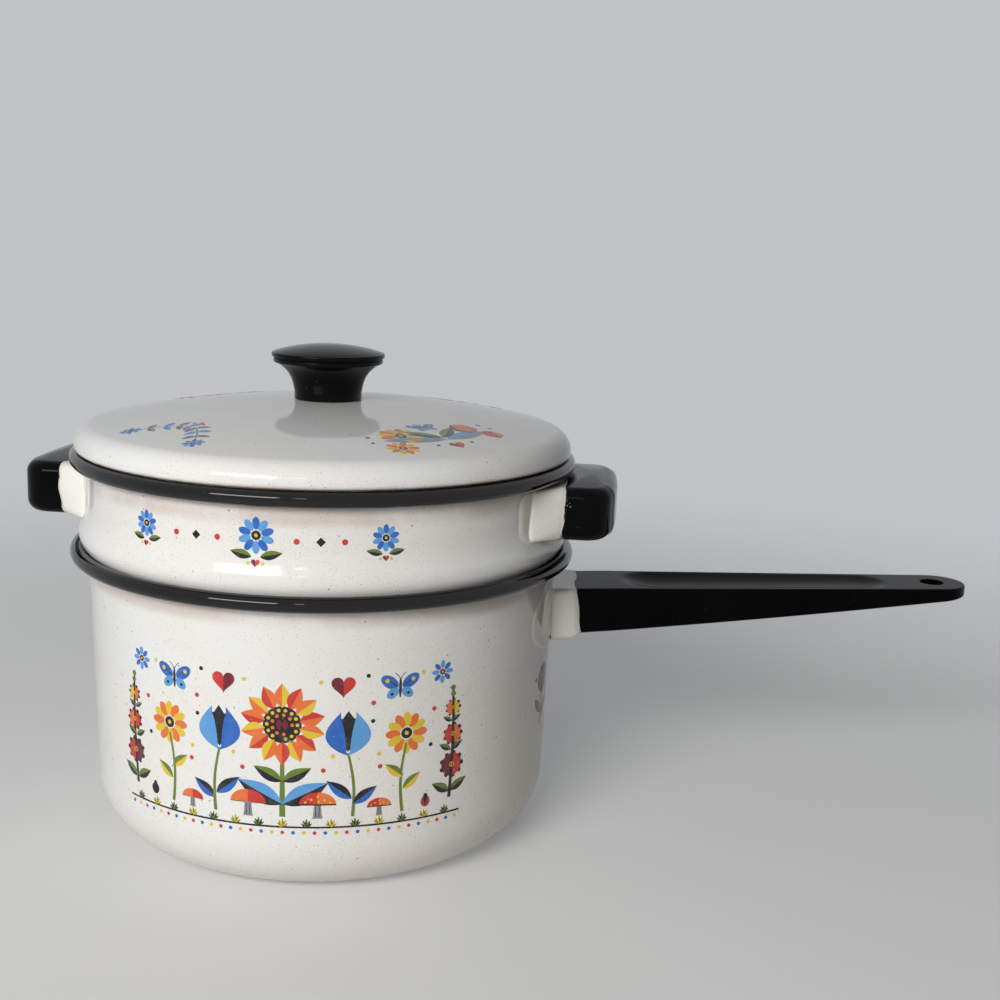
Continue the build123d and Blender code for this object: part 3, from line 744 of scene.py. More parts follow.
grip_plate = rounded_box(grip_plate_width, grip_plate_height, grip_plate_corner)
grip_foot = rounded_box(grip_foot_width, grip_foot_height, grip_foot_corner)
grip_foot[:, 0] *= 1 - grip_foot_splay * grip_foot[:, 1] / (grip_foot_height / 2)
grip_foot = grip_foot + (0, grip_foot_rise)
grip_lip = rounded_box(grip_width, grip_height, grip_edge)
upper_flare_foot = flare_run(upper_bead, band_radius - half_sheet, 0)[0][1]
for side, turn, phase in (("right", grip_turn, 0.4), ("left", grip_turn + 180, 2.3)):
    add_bracket(
        side + "_grip_bracket", "upper", turn, grip_top - grip_height / 2, grip_plate, grip_foot, grip_lip,
        grip_cup_ease, upper_flare_foot - plate_clear, grip_seam, grip_seam_shift, upper_wall_at, phase,
    )
    piece_name, node_name = side + "_phenolic_grip", side + "_grip"
    add_piece(piece_name, grip_points(turn), "upper", (node_name,), sharp=60)


# Finishes. A group gives only colours, masks and heights that change over the surface.


def new_group(name, inputs, outputs):
    """An empty node group with named sockets: its tree, its input node and its output node."""
    tree = bpy.data.node_groups.new(name, "ShaderNodeTree")
    for key, value in inputs.items():
        kind = "Vector" if value is None else "Color" if isinstance(value, tuple) else "Float"
        socket = tree.interface.new_socket(key, in_out="INPUT", socket_type="NodeSocket" + kind)
        if value is not None:
            socket.default_value = value
    for key, kind in outputs.items():
        tree.interface.new_socket(key, in_out="OUTPUT", socket_type="NodeSocket" + kind)
    return tree, tree.nodes.new("NodeGroupInput").outputs, tree.nodes.new("NodeGroupOutput").inputs


def feed(tree, made, inputs):
    """Links each input of a node that is given as a socket, and sets any other."""
    for key, value in inputs.items():
        if isinstance(value, bpy.types.NodeSocket):
            tree.links.new(value, made.inputs[key])
        else:
            made.inputs[key].default_value = value


def node(tree, kind, inputs=None, **settings):
    """A shader node with its settings and inputs."""
    made = tree.nodes.new("ShaderNode" + kind)
    for key, value in settings.items():
        setattr(made, key, value)
    feed(tree, made, inputs or {})
    return made


def maths(tree, operation, first, second=0.5, third=0.5):
    """One step of arithmetic."""
    return node(tree, "Math", {0: first, 1: second, 2: third}, operation=operation).outputs[0]


def ramp(tree, value, low, high, out_low=0.0, out_high=1.0):
    """A value brought from one range to another, smoothly and held at both ends."""
    settings = {"Value": value, "From Min": low, "From Max": high, "To Min": out_low, "To Max": out_high}
    return node(tree, "MapRange", settings, interpolation_type="SMOOTHSTEP").outputs["Result"]


def noise(tree, vector, scale, detail=2.0, roughness=0.5):
    """Cloudy values from 0 to 1."""
    settings = {"Vector": vector, "Scale": scale, "Detail": detail, "Roughness": roughness}
    return node(tree, "TexNoise", settings).outputs[0]


def blend_colour(tree, share, first, second):
    """Two colours mixed by a share."""
    return node(tree, "Mix", {0: share, 6: first, 7: second}, data_type="RGBA").outputs[2]


def group_in(tree, group, inputs):
    """A shared effect placed in a material, with its own values."""
    return node(tree, "Group", inputs, node_tree=group).outputs


def specks_group():
    """Specks: one round dot near each cell's point, in a share of the cells, of changing size."""
    tree, into, out = new_group(
        "enamel_specks", {"Vector": None, "Scale": 600.0, "Share": 0.3, "Radius": 0.2}, {"Mask": "Float"}
    )
    cells = node(tree, "TexVoronoi", {"Vector": into["Vector"], "Scale": into["Scale"]}, feature="F1")
    random = node(tree, "SeparateColor", {0: cells.outputs["Color"]}).outputs
    radius = maths(tree, "MULTIPLY", into["Radius"], maths(tree, "ADD", random[1], 0.35))
    inside = maths(tree, "SUBTRACT", 1.0, maths(tree, "DIVIDE", cells.outputs["Distance"], radius))
    dot = ramp(tree, inside, 0.0, 0.5)
    chosen = maths(tree, "LESS_THAN", random[0], into["Share"])
    tree.links.new(maths(tree, "MULTIPLY", dot, chosen), out["Mask"])
    return tree


def patches_group():
    """Soft patches: noise cut to a range."""
    tree, into, out = new_group(
        "soft_patches", {"Vector": None, "Scale": 40.0, "Low": 0.4, "High": 0.7}, {"Mask": "Float"}
    )
    wide = noise(tree, into["Vector"], into["Scale"], 4.0, 0.6)
    tree.links.new(ramp(tree, wide, into["Low"], into["High"]), out["Mask"])
    return tree


def scratches_group():
    """Fine scratches: noise drawn out along one way, and only its thin crests kept."""
    tree, into, out = new_group(
        "fine_scratches", {"Vector": None, "Scale": 60.0, "Width": 0.02}, {"Mask": "Float"}
    )
    lines = noise(tree, into["Vector"], into["Scale"], 1.0, 0.4)
    near = maths(tree, "ABSOLUTE", maths(tree, "SUBTRACT", lines, 0.5))
    thin = ramp(tree, near, into["Width"], 0.0)
    broken = ramp(tree, noise(tree, into["Vector"], 35.0, 2.0), 0.5, 0.62)
    tree.links.new(maths(tree, "MULTIPLY", thin, broken), out["Mask"])
    return tree


def chip_group():
    """A chip: a ball round a place, its edge broken up by noise."""
    tree, into, out = new_group("chip", {"Vector": None, "Place": None, "Size": 0.001}, {"Mask": "Float"})
    apart = node(tree, "VectorMath", {0: into["Vector"], 1: into["Place"]}, operation="DISTANCE")
    away = apart.outputs["Value"]
    ragged = maths(tree, "MULTIPLY_ADD", noise(tree, into["Vector"], 900.0, 3.0), 0.0022, -0.0011)
    inside = maths(tree, "DIVIDE", maths(tree, "ADD", away, ragged), into["Size"])
    tree.links.new(ramp(tree, inside, 1.0, 0.75), out["Mask"])
    return tree


specks = specks_group()
patches = patches_group()
scratches = scratches_group()
chip = chip_group()


def patched(tree, vector, scale, low, high):
    """Soft patches placed in a material."""
    return group_in(tree, patches, {"Vector": vector, "Scale": scale, "Low": low, "High": high})["Mask"]


def specked(tree, vector, scale, share, radius):
    """Specks placed in a material."""
    return group_in(tree, specks, {"Vector": vector, "Scale": scale, "Share": share, "Radius": radius})["Mask"]


def chipped_at(tree, vector, place, size):
    """A chip placed in a material."""
    return group_in(tree, chip, {"Vector": vector, "Place": place, "Size": size})["Mask"]


def times(tree, first, second):
    """The product of two values."""
    return maths(tree, "MULTIPLY", first, second)


# A warm and a cool white of the pots and the lid, and of the creamier brackets
pot_whites = ((0.80, 0.785, 0.755, 1), (0.785, 0.80, 0.795, 1))
bracket_whites = ((0.88, 0.84, 0.755, 1), (0.86, 0.855, 0.81, 1))
speck_brown = (0.30, 0.25, 0.19, 1)
speck_dark = (0.16, 0.125, 0.09, 1)
rim_black = (0.0018, 0.0018, 0.0022, 1)
stain_brown = (0.40, 0.25, 0.19, 1)
edge_tan = (0.46, 0.32, 0.24, 1)
worn_enamel = (0.33, 0.28, 0.23, 1)
bare_iron = (0.05, 0.04, 0.035, 1)
chip_rust = (0.045, 0.03, 0.022, 1)

# Blacks of the phenolic and its dust, a painted glint standing for the sparkle of a chip's broken face, then
# the metals' clean and dull tones
phenolic_blacks = ((0.0012, 0.0012, 0.0015, 1), (0.003, 0.003, 0.0035, 1))
dust_grey = (0.16, 0.15, 0.14, 1)
chip_painted_glint = (0.42, 0.42, 0.40, 1)
steel_tones = ((0.62, 0.62, 0.60, 1), (0.38, 0.37, 0.35, 1))
brass_tones = ((0.72, 0.56, 0.28, 1), (0.42, 0.30, 0.14, 1))
metal_spot = (0.10, 0.08, 0.06, 1)
pit_white = (0.7, 0.68, 0.64, 1)


def white_enamel_group():
    """Creamy white enamel: a warm and a cool white in soft patches, brown and grey specks, a faint ripple."""
    tree, into, out = new_group(
        "creamy_enamel",
        {"Vector": None, "Warm": pot_whites[0], "Cool": pot_whites[1], "Speck Share": 0.3},
        {"Color": "Color", "Roughness": "Float", "Height": "Float"},
    )
    vector = into["Vector"]
    tone = patched(tree, vector, 14.0, 0.35, 0.65)
    colour = blend_colour(tree, tone, into["Cool"], into["Warm"])
    crowd = patched(tree, vector, 26.0, 0.35, 0.7)
    share = times(tree, into["Speck Share"], ramp(tree, crowd, 0.0, 1.0, 0.45, 1.5))
    fine = specked(tree, vector, 1450.0, share, 0.30)
    coarse = specked(tree, vector, 620.0, times(tree, share, 0.07), 0.24)
    colour = blend_colour(tree, times(tree, fine, 0.5), colour, speck_brown)
    colour = blend_colour(tree, times(tree, coarse, 0.7), colour, speck_dark)
    tree.links.new(colour, out["Color"])
    dull = patched(tree, vector, 55.0, 0.45, 0.8)
    tree.links.new(ramp(tree, dull, 0.0, 1.0, 0.07, 0.14), out["Roughness"])
    small_ripple = times(tree, noise(tree, vector, 420.0, 1.0), 0.12)
    ripple = maths(tree, "ADD", noise(tree, vector, 70.0, 1.0), small_ripple)
    tree.links.new(maths(tree, "ADD", ripple, times(tree, fine, 0.05)), out["Height"])
    return tree


creamy_enamel = white_enamel_group()


def material(name):
    """A new material: its tree, its Principled shader and the Object coordinates."""
    made = bpy.data.materials.new(name)
    made.use_nodes = True
    tree = made.node_tree
    shader = tree.nodes["Principled BSDF"]
    return made, tree, shader, node(tree, "TexCoord").outputs["Object"]


def connect(tree, shader, colour=None, roughness=None, height=None, bump=(0.3, 0.0005)):
    """Feeds a shader with the values that change over its surface."""
    if colour is not None:
        tree.links.new(colour, shader.inputs["Base Color"])
    if roughness is not None:
        tree.links.new(roughness, shader.inputs["Roughness"])
    if height is not None:
        made = node(tree, "Bump", {"Strength": bump[0], "Distance": bump[1], "Height": height})
        tree.links.new(made.outputs[0], shader.inputs["Normal"])


def attribute(tree, name):
    """A value written on a piece's points."""
    return node(tree, "Attribute", attribute_name=name).outputs["Fac"]


def pot_enamel():
    """White enamel that turns black past the rim's wavy edge, with a soft brown stain just before it."""
    made, tree, shader, vector = material("pot_enamel")
    white = group_in(tree, creamy_enamel, {"Vector": vector, "Speck Share": 0.6})
    wave = ramp(tree, noise(tree, vector, 55.0, 2.0), 0.0, 1.0, -0.5, 0.5)
    into_black = maths(tree, "ADD", attribute(tree, "rim"), wave)
    black = ramp(tree, into_black, -0.12, 0.12)
    near = ramp(tree, into_black, -14.5, -10.0)
    blotch = patched(tree, vector, 22.0, 0.22, 0.62)
    stained = times(tree, times(tree, near, blotch), 0.42)
    colour = blend_colour(tree, stained, white["Color"], stain_brown)
    colour = blend_colour(tree, black, colour, rim_black)
    dust = patched(tree, vector, 160.0, 0.5, 0.8)
    black_gloss = ramp(tree, dust, 0.0, 1.0, 0.04, 0.12)
    gloss = node(tree, "Mix", {0: black, 2: white["Roughness"], 3: black_gloss}).outputs[0]
    height = maths(tree, "ADD", white["Height"], times(tree, black, 0.25))
    connect(tree, shader, colour, gloss, height, (0.30, 0.0004))
    return made


def lid_enamel():
    """White enamel of the lid: more specks towards its front edge, a tan tint low on the edge."""
    made, tree, shader, vector = material("lid_enamel")
    height = node(tree, "SeparateXYZ", {0: vector}).outputs[2]
    low = ramp(tree, height, lid_edge[1] + 7 * mm, lid_edge[1] - 1 * mm)
    share = ramp(tree, low, 0.0, 1.0, 0.28, 0.62)
    white = group_in(tree, creamy_enamel, {"Vector": vector, "Speck Share": share})
    tint = ramp(tree, height, lid_seat + 2.4 * mm, lid_seat + 0.2 * mm)
    blotch = patched(tree, vector, 40.0, 0.35, 0.7)
    tan_share = times(tree, tint, times(tree, blotch, 0.5))
    colour = blend_colour(tree, tan_share, white["Color"], edge_tan)
    connect(tree, shader, colour, white["Roughness"], white["Height"], (0.26, 0.0004))
    return made


# Chips seen on the real one: in the enamel of two brackets, and in the black of the right grip, where they are
# drawn only as painted glints
bracket_chips = (((0.0936, -0.0192, 0.0816), 0.0013), ((0.0818, -0.0570, 0.1511), 0.0013))
grip_chips = (((0.0938, -0.0524, 0.1455), 0.0021), ((0.0923, -0.0521, 0.1480), 0.0016))


def bracket_enamel():
    """White enamel of a bracket: thin and grey at its wavy lip, chipped down to dark iron or rust."""
    made, tree, shader, vector = material("bracket_enamel")
    warm, cool = bracket_whites
    white = group_in(tree, creamy_enamel, {"Vector": vector, "Warm": warm, "Cool": cool, "Speck Share": 0.35})
    from_lip = attribute(tree, "to_lip")
    ragged = maths(tree, "ADD", from_lip, ramp(tree, noise(tree, vector, 160.0, 3.0), 0.0, 1.0, -0.9, 0.9))
    some = ramp(tree, noise(tree, vector, 90.0, 2.0), 0.5, 0.58)
    chipped = times(tree, ramp(tree, ragged, 0.55, 0.25), some)
    worn = times(tree, ramp(tree, from_lip, 2.6, 0.0), 0.35)
    colour = blend_colour(tree, worn, white["Color"], worn_enamel)
    colour = blend_colour(tree, chipped, colour, bare_iron)
    for place, size in bracket_chips:
        spot = chipped_at(tree, vector, place, size)
        colour = blend_colour(tree, spot, colour, chip_rust)
    gloss = node(tree, "Mix", {0: chipped, 2: white["Roughness"], 3: 0.55}).outputs[0]
    height = maths(tree, "SUBTRACT", white["Height"], times(tree, chipped, 0.8))
    connect(tree, shader, colour, gloss, height, (0.35, 0.0004))
    return made


def black_phenolic(name, lengthwise, polish, shine, chips=()):
    """Moulded black phenolic: a deep gloss with fine scratches, faint cloudiness, a little dust, and painted
    glints where it is chipped.
    """
    made, tree, shader, vector = material(name)
    drawn = node(tree, "Mapping", {"Vector": vector, "Scale": lengthwise}).outputs[0]
    lines = group_in(tree, scratches, {"Vector": drawn, "Scale": 60.0, "Width": 0.012})["Mask"]
    haze = patched(tree, vector, 35.0, 0.35, 0.75)
    dust = specked(tree, vector, 700.0, 0.05, 0.16)
    colour = blend_colour(tree, times(tree, haze, 0.5), *phenolic_blacks)
    colour = blend_colour(tree, times(tree, dust, 0.35), colour, dust_grey)
    # Painted glints: light grey specks inside each chip stand for light sparkling on its broken face
    for place, size in chips:
        spot = chipped_at(tree, vector, place, size)
        glint = specked(tree, vector, 1700.0, 0.5, 0.45)
        colour = blend_colour(tree, times(tree, spot, glint), colour, chip_painted_glint)
    worn = maths(tree, "ADD", times(tree, haze, 0.5), times(tree, lines, 0.5))
    gloss = ramp(tree, worn, 0.0, 1.0, *polish)
    grain = maths(tree, "ADD", noise(tree, vector, 120.0, 2.0), times(tree, lines, -0.15))
    connect(tree, shader, colour, gloss, grain, (0.12, 0.0004))
    shader.inputs["Specular IOR Level"].default_value = shine
    return made


def turned_metal(name, bright, dull):
    """Plated or plain metal: fine turning marks, dull patches and dark spots."""
    made, tree, shader, vector = material(name)
    marks = noise(tree, node(tree, "Mapping", {"Vector": vector, "Scale": (1, 1, 9)}).outputs[0], 700.0, 3.0)
    film = patched(tree, vector, 130.0, 0.4, 0.7)
    spots = specked(tree, vector, 800.0, 0.2, 0.25)
    colour = blend_colour(tree, film, bright, dull)
    colour = blend_colour(tree, times(tree, spots, 0.6), colour, metal_spot)
    connect(tree, shader, colour, ramp(tree, film, 0.0, 1.0, 0.22, 0.42), marks, (0.25, 0.0002))
    shader.inputs["Metallic"].default_value = 1.0
    return made


inks = {
    "red": (0.56, 0.035, 0.022, 1),
    "orange": (0.75, 0.16, 0.03, 1),
    "yellow": (0.72, 0.52, 0.03, 1),
    "olive": (0.13, 0.20, 0.022, 1),
    "blue": (0.02, 0.13, 0.50, 1),
    "sky": (0.10, 0.33, 0.68, 1),
    "black": (0.008, 0.008, 0.010, 1),
    "grey": (0.24, 0.25, 0.26, 1),
    "maroon": (0.16, 0.015, 0.025, 1),
}


def printed_ink(name, colour):
    """Fired ink: the colour a little thin in patches, with tiny pits where the white shows."""
    made, tree, shader, vector = material(name + "_ink")
    thin = patched(tree, vector, 220.0, 0.4, 0.75)
    pits = specked(tree, vector, 1300.0, 0.12, 0.22)
    paler = tuple(0.86 * c + 0.09 for c in colour[:3]) + (1,)
    shade = blend_colour(tree, times(tree, thin, 0.45), colour, paler)
    shade = blend_colour(tree, times(tree, pits, 0.55), shade, pit_white)
    gloss = ramp(tree, thin, 0.0, 1.0, 0.14, 0.24)
    connect(tree, shader, shade, gloss, noise(tree, vector, 160.0, 2.0), (0.1, 0.0003))
    return made


finishes = {
    "pot": pot_enamel(),
    "lid": lid_enamel(),
    "bracket": bracket_enamel(),
    "handle": black_phenolic("handle_phenolic", lengthwise=(0.10, 1.0, 1.0), polish=(0.20, 0.36), shine=0.04),
    "grip": black_phenolic(
        "grip_phenolic", lengthwise=(1.0, 0.25, 1.0), polish=(0.09, 0.22), shine=0.08, chips=grip_chips
    ),
    "knob": black_phenolic("knob_phenolic", lengthwise=(1.0, 1.0, 0.6), polish=(0.10, 0.22), shine=0.12),
    "steel": turned_metal("plated_steel_finish", *steel_tones),
    "brass": turned_metal("brass_finish", *brass_tones),
}


# The finish that goes with a word in a piece's name. The first word found counts.
finish_words = (
    ("insert", "brass"), ("screw", "steel"), ("washer", "steel"),
    ("pressing", "bracket"), ("bracket", "bracket"),
    ("lid", "lid"), ("knob", "knob"), ("handle", "handle"), ("grip", "grip"),
)


def finish_of(name):
    """The finish that a piece or a carried-over node wears, by its name."""
    return next((finish for word, finish in finish_words if word in name), "pot")


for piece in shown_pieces():
    if not piece.hide_render:
        piece.data.materials.clear()
        piece.data.materials.append(finishes[finish_of(piece.name)])

# Prints. A drawing is a list of (ink, points, closed): the points are complex numbers, across + up * 1j,
# in millimetres on the surface. Rows of a filled shape run from its outline in to its middle.
ring_step = 3.0
print_lift = 0.025 * mm
print_layer = 0.006 * mm
print_depth = 0.09 * mm


def fill(ink, outline, middle=None):
    """A filled shape: its outline drawn in to the middle, in rings at most a step apart."""
    outline = np.asarray(outline, complex)
    middle = outline.mean() if middle is None else middle
    rings = 1 + int(np.abs(outline - middle).max() / ring_step)
    share = np.linspace(1, 0, rings + 1)[:, None]
    return [(ink, middle + (outline - middle) * share, True)]


def stroke(ink, path, width):
    """A line along a path, with a width that may change from point to point."""
    path = np.asarray(path, complex)
    run = np.gradient(path)
    side = 0.5j * run / np.abs(run) * width
    return [(ink, np.stack([path + side, path, path - side], 1), False)]


def circle(at, radius, points=24):
    """A round outline."""
    return at + radius * np.exp(2j * pi * np.arange(points) / points)


def oval(at, length, width, turn=0, points=28):
    """An oval outline."""
    round_about = 2 * pi * np.arange(points) / points
    level = length / 2 * np.cos(round_about) + width / 2 * np.sin(round_about) * 1j
    return at + level * np.exp(1j * radians(turn))


def half_circle(at, radius, turn, points=14):
    """Half of a disc, its flat side through the middle."""
    return at + radius * np.exp(1j * (radians(turn) + pi * np.linspace(0, 1, points)))


def leaf_side(at, length, width, turn, side, points=12):
    """One half of a pointed leaf: its rib is straight, its edge a sine that is fullest before the middle."""
    share = np.linspace(0, 1, points)
    edge = share * length + 1j * side * width / 2 * np.sin(pi * share ** 0.85)
    rib = share[::-1][1:-1] * length
    outline = np.concatenate([edge, rib])
    return at + (outline if side < 0 else outline[::-1]) * np.exp(1j * radians(turn))


def leaf(at, length, width, turn, left, right):
    """A pointed leaf of two inks, split along its rib."""
    middle = at + length * 0.45 * np.exp(1j * radians(turn))
    offset = 1j * width / 5 * np.exp(1j * radians(turn))
    return (
        fill(left, leaf_side(at, length, width, turn, 1), middle + offset)
        + fill(right, leaf_side(at, length, width, turn, -1), middle - offset)
    )


def dots(ink, places, radius, points=12):
    """A round dot at each place."""
    return [shape for place in places for shape in fill(ink, circle(place, radius, points))]


def moved(drawing, by, size=1.0):
    """The same drawing, made larger or smaller and then moved."""
    return [(ink, points * size + by, closed) for ink, points, closed in drawing]


def mirrored(drawing):
    """The same drawing seen in a mirror, its points put back in order."""
    return [(ink, -np.conj(points[:, ::-1]), closed) for ink, points, closed in drawing]


def both_sides(drawing):
    """A drawing and its mirror image."""
    return drawing + mirrored(drawing)


def stem(bottom, top, bow, width=1.1, ink="olive"):
    """A stem that bows to one side by a sine."""
    share = np.linspace(0, 1, 14)
    path = bottom + (top - bottom) * share + bow * np.sin(pi * share)
    return stroke(ink, path, width * (1.2 - 0.4 * share))


def sunflower(radius):
    """A large bloom: petals of two inks round a black disc with rings of dots."""
    petals = 14
    drawing = []
    for number in range(petals):
        turn = 360 * number / petals + 90
        foot = 0.42 * radius * np.exp(1j * radians(turn))
        first, second = ("red", "orange") if number % 2 else ("orange", "yellow")
        drawing += leaf(foot, 0.6 * radius, 0.36 * radius, turn, first, second)
    drawing += fill("black", circle(0, 0.46 * radius, 36))
    drawing += dots("yellow", circle(0, 0.36 * radius, 14), 0.045 * radius, 8)
    drawing += dots("orange", circle(0, 0.24 * radius, 9), 0.045 * radius, 8)
    return drawing + fill("maroon", circle(0, 0.14 * radius, 16))


def tulip(height, left, right, heart):
    """A closed bloom: two outer petals, a middle one and three hanging dots."""
    drawing = leaf(0.1j * height, 0.92 * height, 0.5 * height, 90, heart, heart)
    for side, ink in ((1, right), (-1, left)):
        share = np.linspace(0, 1, 14)
        outer = side * height * (0.42 * np.sin(pi * share ** 0.8) + 0.16 * share) + 1j * height * share
        inner = side * height * (0.16 * share ** 2 + 0.04) + 1j * height * share
        outline = np.concatenate([outer, inner[::-1][1:-1]])
        drawing += fill(ink, outline if side > 0 else outline[::-1], side * 0.2 * height + 0.42j * height)
    drawing += stroke("black", 0.16j * height + 0.5j * height * np.linspace(0, 1, 6), 0.035 * height)
    return drawing + dots("black", [complex(side, 0.82) * height for side in (-0.14, 0.14)], 0.03 * height, 8)


def daisy(radius, petals, ink, other, heart):
    """An open bloom of separate round petals of two inks in turn."""
    drawing = []
    for number in range(petals):
        turn = 360 * number / petals + 90
        at = 0.64 * radius * np.exp(1j * radians(turn))
        drawing += fill(other if number % 2 else ink, oval(at, 0.68 * radius, 0.40 * radius, turn, 18))
    return drawing + fill(heart, circle(0, 0.26 * radius, 18)) + dots("yellow", [0], 0.10 * radius, 8)


def toadstool(height):
    """A toadstool: a cap of two inks with dots, a pale stalk with lines, a row of gills."""
    cap = 0.62 * height
    share = np.linspace(0, 1, 12)
    stalk = 0.12 * height + 0.05 * height * share ** 2
    level = 0.55j * height * (1 - share)
    outline = np.concatenate([stalk + level, (level - stalk)[::-1]])
    drawing = fill("grey", outline[::-1])
    for place in (-0.06, 0.06):
        drawing += stroke("black", place * height + 1j * height * np.linspace(0.06, 0.44, 6), 0.025 * height)
    base = 0.5j * height
    for side, ink in ((1, "orange"), (-1, "red")):
        rise = np.radians(90 * np.linspace(0, 1, 14))
        edge = base + side * cap * np.cos(rise) + 0.72j * cap * np.sin(rise)
        outline = np.concatenate([edge, [base]])
        drawing += fill(ink, outline if side > 0 else outline[::-1], base + side * 0.36 * cap + 0.26j * cap)
    drawing += stroke("black", base + cap * np.linspace(-1.02, 1.02, 14), 0.05 * height)
    spots = ((-0.34, 0.30), (0.02, 0.48), (0.38, 0.26), (-0.66, 0.14), (0.68, 0.12), (0.06, 0.18))
    return drawing + dots("yellow", [base + complex(x, y) * cap for x, y in spots], 0.07 * cap, 10)


def heart(height, left, right):
    """A heart of two halves, each a lobe drawn down to the point."""
    drawing = []
    for side, ink in ((1, right), (-1, left)):
        turn = np.linspace(0, pi, 22)
        across = side * 0.55 * height * np.sin(turn) ** 3
        shares = ((0.45, 1), (-0.17, 2), (-0.07, 3), (-0.035, 4))
        outline = across + 1j * height * sum(share * np.cos(fold * turn) for share, fold in shares)
        drawing += fill(ink, outline[::-1] if side > 0 else outline, side * 0.22 * height + 0.1j * height)
    return drawing


def butterfly(span):
    """A butterfly from above: two wings a side, their spots, a body of ovals and feelers."""
    wings = fill("blue", oval(0.27 * span + 0.16j * span, 0.50 * span, 0.30 * span, 35))
    wings += fill("sky", oval(0.19 * span - 0.13j * span, 0.34 * span, 0.24 * span, -40))
    wings += dots("yellow", [0.33 * span + 0.20j * span], 0.055 * span)
    wings += dots("black", [0.21 * span - 0.15j * span], 0.04 * span)
    wings += stroke("black", span * (0.08 + 0.05j + (0.2 + 0.14j) * np.linspace(0, 1, 5)), 0.02 * span)
    feeler = np.linspace(0, 1, 8)
    wings += stroke("black", span * (0.02 + 0.24j + 0.12 * feeler ** 1.6 + 0.15j * feeler), 0.018 * span)
    drawing = both_sides(wings) + fill("black", oval(0, 0.52 * span, 0.075 * span, 90))
    return drawing + dots("maroon", [0.05j * span], 0.03 * span, 8)


def beetle(length):
    """A round beetle: a black body under two red wing cases with dots."""
    drawing = fill("black", oval(0, length, 0.86 * length, 90))
    drawing += dots("black", [0.52j * length], 0.2 * length)
    for side in (1, -1):
        turn = radians(-90) + side * pi * np.linspace(0.03, 0.86, 14)
        outline = 0.36 * length * np.cos(turn) + side * 0.03 * length + 0.43j * length * np.sin(turn)
        drawing += fill("red", outline if side > 0 else outline[::-1], side * 0.18 * length - 0.03j * length)
    spots = [side * 0.19 * length + up * 1j * length for side in (1, -1) for up in (0.14, -0.16)]
    return drawing + dots("black", spots, 0.06 * length, 8)


def hollyhock(height):
    """A tall stalk with three half-and-half blooms, buds and leaves in pairs."""
    drawing = stem(0, 1j * height, 0.8, 1.2, "black")
    blooms = ((0.30, 4.6, "maroon", "red"), (0.58, 3.8, "red", "orange"), (0.82, 3.0, "orange", "yellow"))
    for up, radius, ink, other in blooms:
        at = 1j * up * height + 0.8 * sin(pi * up)
        drawing += dots("black", circle(at, radius, 9), radius * 0.2, 8)
        drawing += fill(ink, half_circle(at, radius, 90)) + fill(other, half_circle(at, radius, -90))
        drawing += dots("yellow", [at], radius * 0.24)
    drawing += dots("olive", [1j * height, 1j * height + 0.2 - 2.4j], 1.1)
    for up, length in ((0.06, 9.0), (0.44, 6.0), (0.70, 4.5)):
        at = 1j * up * height
        drawing += leaf(at, length, length * 0.42, 28, "olive", "black")
        drawing += leaf(at, length, length * 0.42, 152, "black", "olive")
    return drawing


def tuft(height, ink, other):
    """Blades of grass in a fan."""
    drawing = []
    for number, turn in enumerate((38, 64, 90, 116, 142)):
        long = height * (0.7 + 0.3 * sin(radians(turn)) ** 4)
        first, second = (ink, other) if number % 2 else (other, ink)
        drawing += leaf(0, long, 0.26 * height, turn, first, second)
    return drawing


def garden():
    """The large print: a sunflower between tulips, daisies, hollyhocks, toadstools and butterflies."""
    drawing = stem(-27j, -4j, 0.0, 1.9)
    for lift, long, ink in ((-22, 19.0, "sky"), (-13, 12.0, "olive")):
        drawing += both_sides(leaf(lift * 1j, long, long * 0.40, 27, ink, "black"))
    drawing += moved(sunflower(15.5), 9j)
    side = stem(26 - 27j, 24 - 2j, 1.2) + leaf(25.6 - 20j, 12, 4.6, 142, "blue", "black")
    side += leaf(26 - 22j, 11, 4.4, 36, "black", "blue") + moved(tulip(17, "blue", "sky", "black"), 24 - 3j)
    side += stem(45 - 27j, 46 + 0j, -1.4) + leaf(45 - 18j, 9, 3.8, 40, "olive", "yellow")
    side += leaf(45 - 13j, 9, 3.8, 142, "yellow", "olive")
    side += moved(daisy(8.4, 12, "yellow", "orange", "black"), 46 + 4j)
    side += moved(hollyhock(44), 65 - 25j)
    side += moved(toadstool(11), 13 - 27.5j) + moved(toadstool(7.5), 36 - 27.5j)
    side += moved(butterfly(15), 43 + 22j) + moved(heart(8, "maroon", "red"), 22 + 24j)
    side += moved(beetle(4.4), 54.5 - 24.5j) + moved(daisy(4.6, 8, "sky", "blue", "maroon"), 60 + 26j)
    side += dots("red", [33 + 17j, 57 + 12j, 36 - 8j, 15 - 8.5j], 0.9)
    side += dots("black", [33 + 10j, 31 + 27.5j, 56 - 2j], 0.8)
    side += dots("yellow", [14 + 25.5j, 52 + 27j, 35.5 - 3j, 18.5 - 3j], 0.8)
    drawing += both_sides(side)
    for number in range(-7, 8):
        drawing += moved(tuft(3.6, "olive", "black" if number % 2 else "yellow"), number * 9.0 - 31j)
    drawing += stroke("black", np.linspace(-70, 70, 60) - 31j, 0.7)
    for number in range(-17, 18):
        drawing += dots(("red", "blue", "yellow")[number % 3], [number * 4.0 - 33.2j], 0.75, 8)
    return drawing


def band_flower(size):
    """A small bloom with two hearts beside it and a row of seeds under it."""
    drawing = moved(daisy(6.2, 10, "blue", "sky", "black"), 1.5j)
    drawing += both_sides(leaf(1.4 - 5.5j, 7.5, 3.0, 12, "olive", "black"))
    drawing += moved(heart(2.6, "maroon", "red"), -7.4j) + dots("yellow", [-2.4 - 7.6j, 2.4 - 7.6j], 0.65, 10)
    return moved(drawing, 0, size)


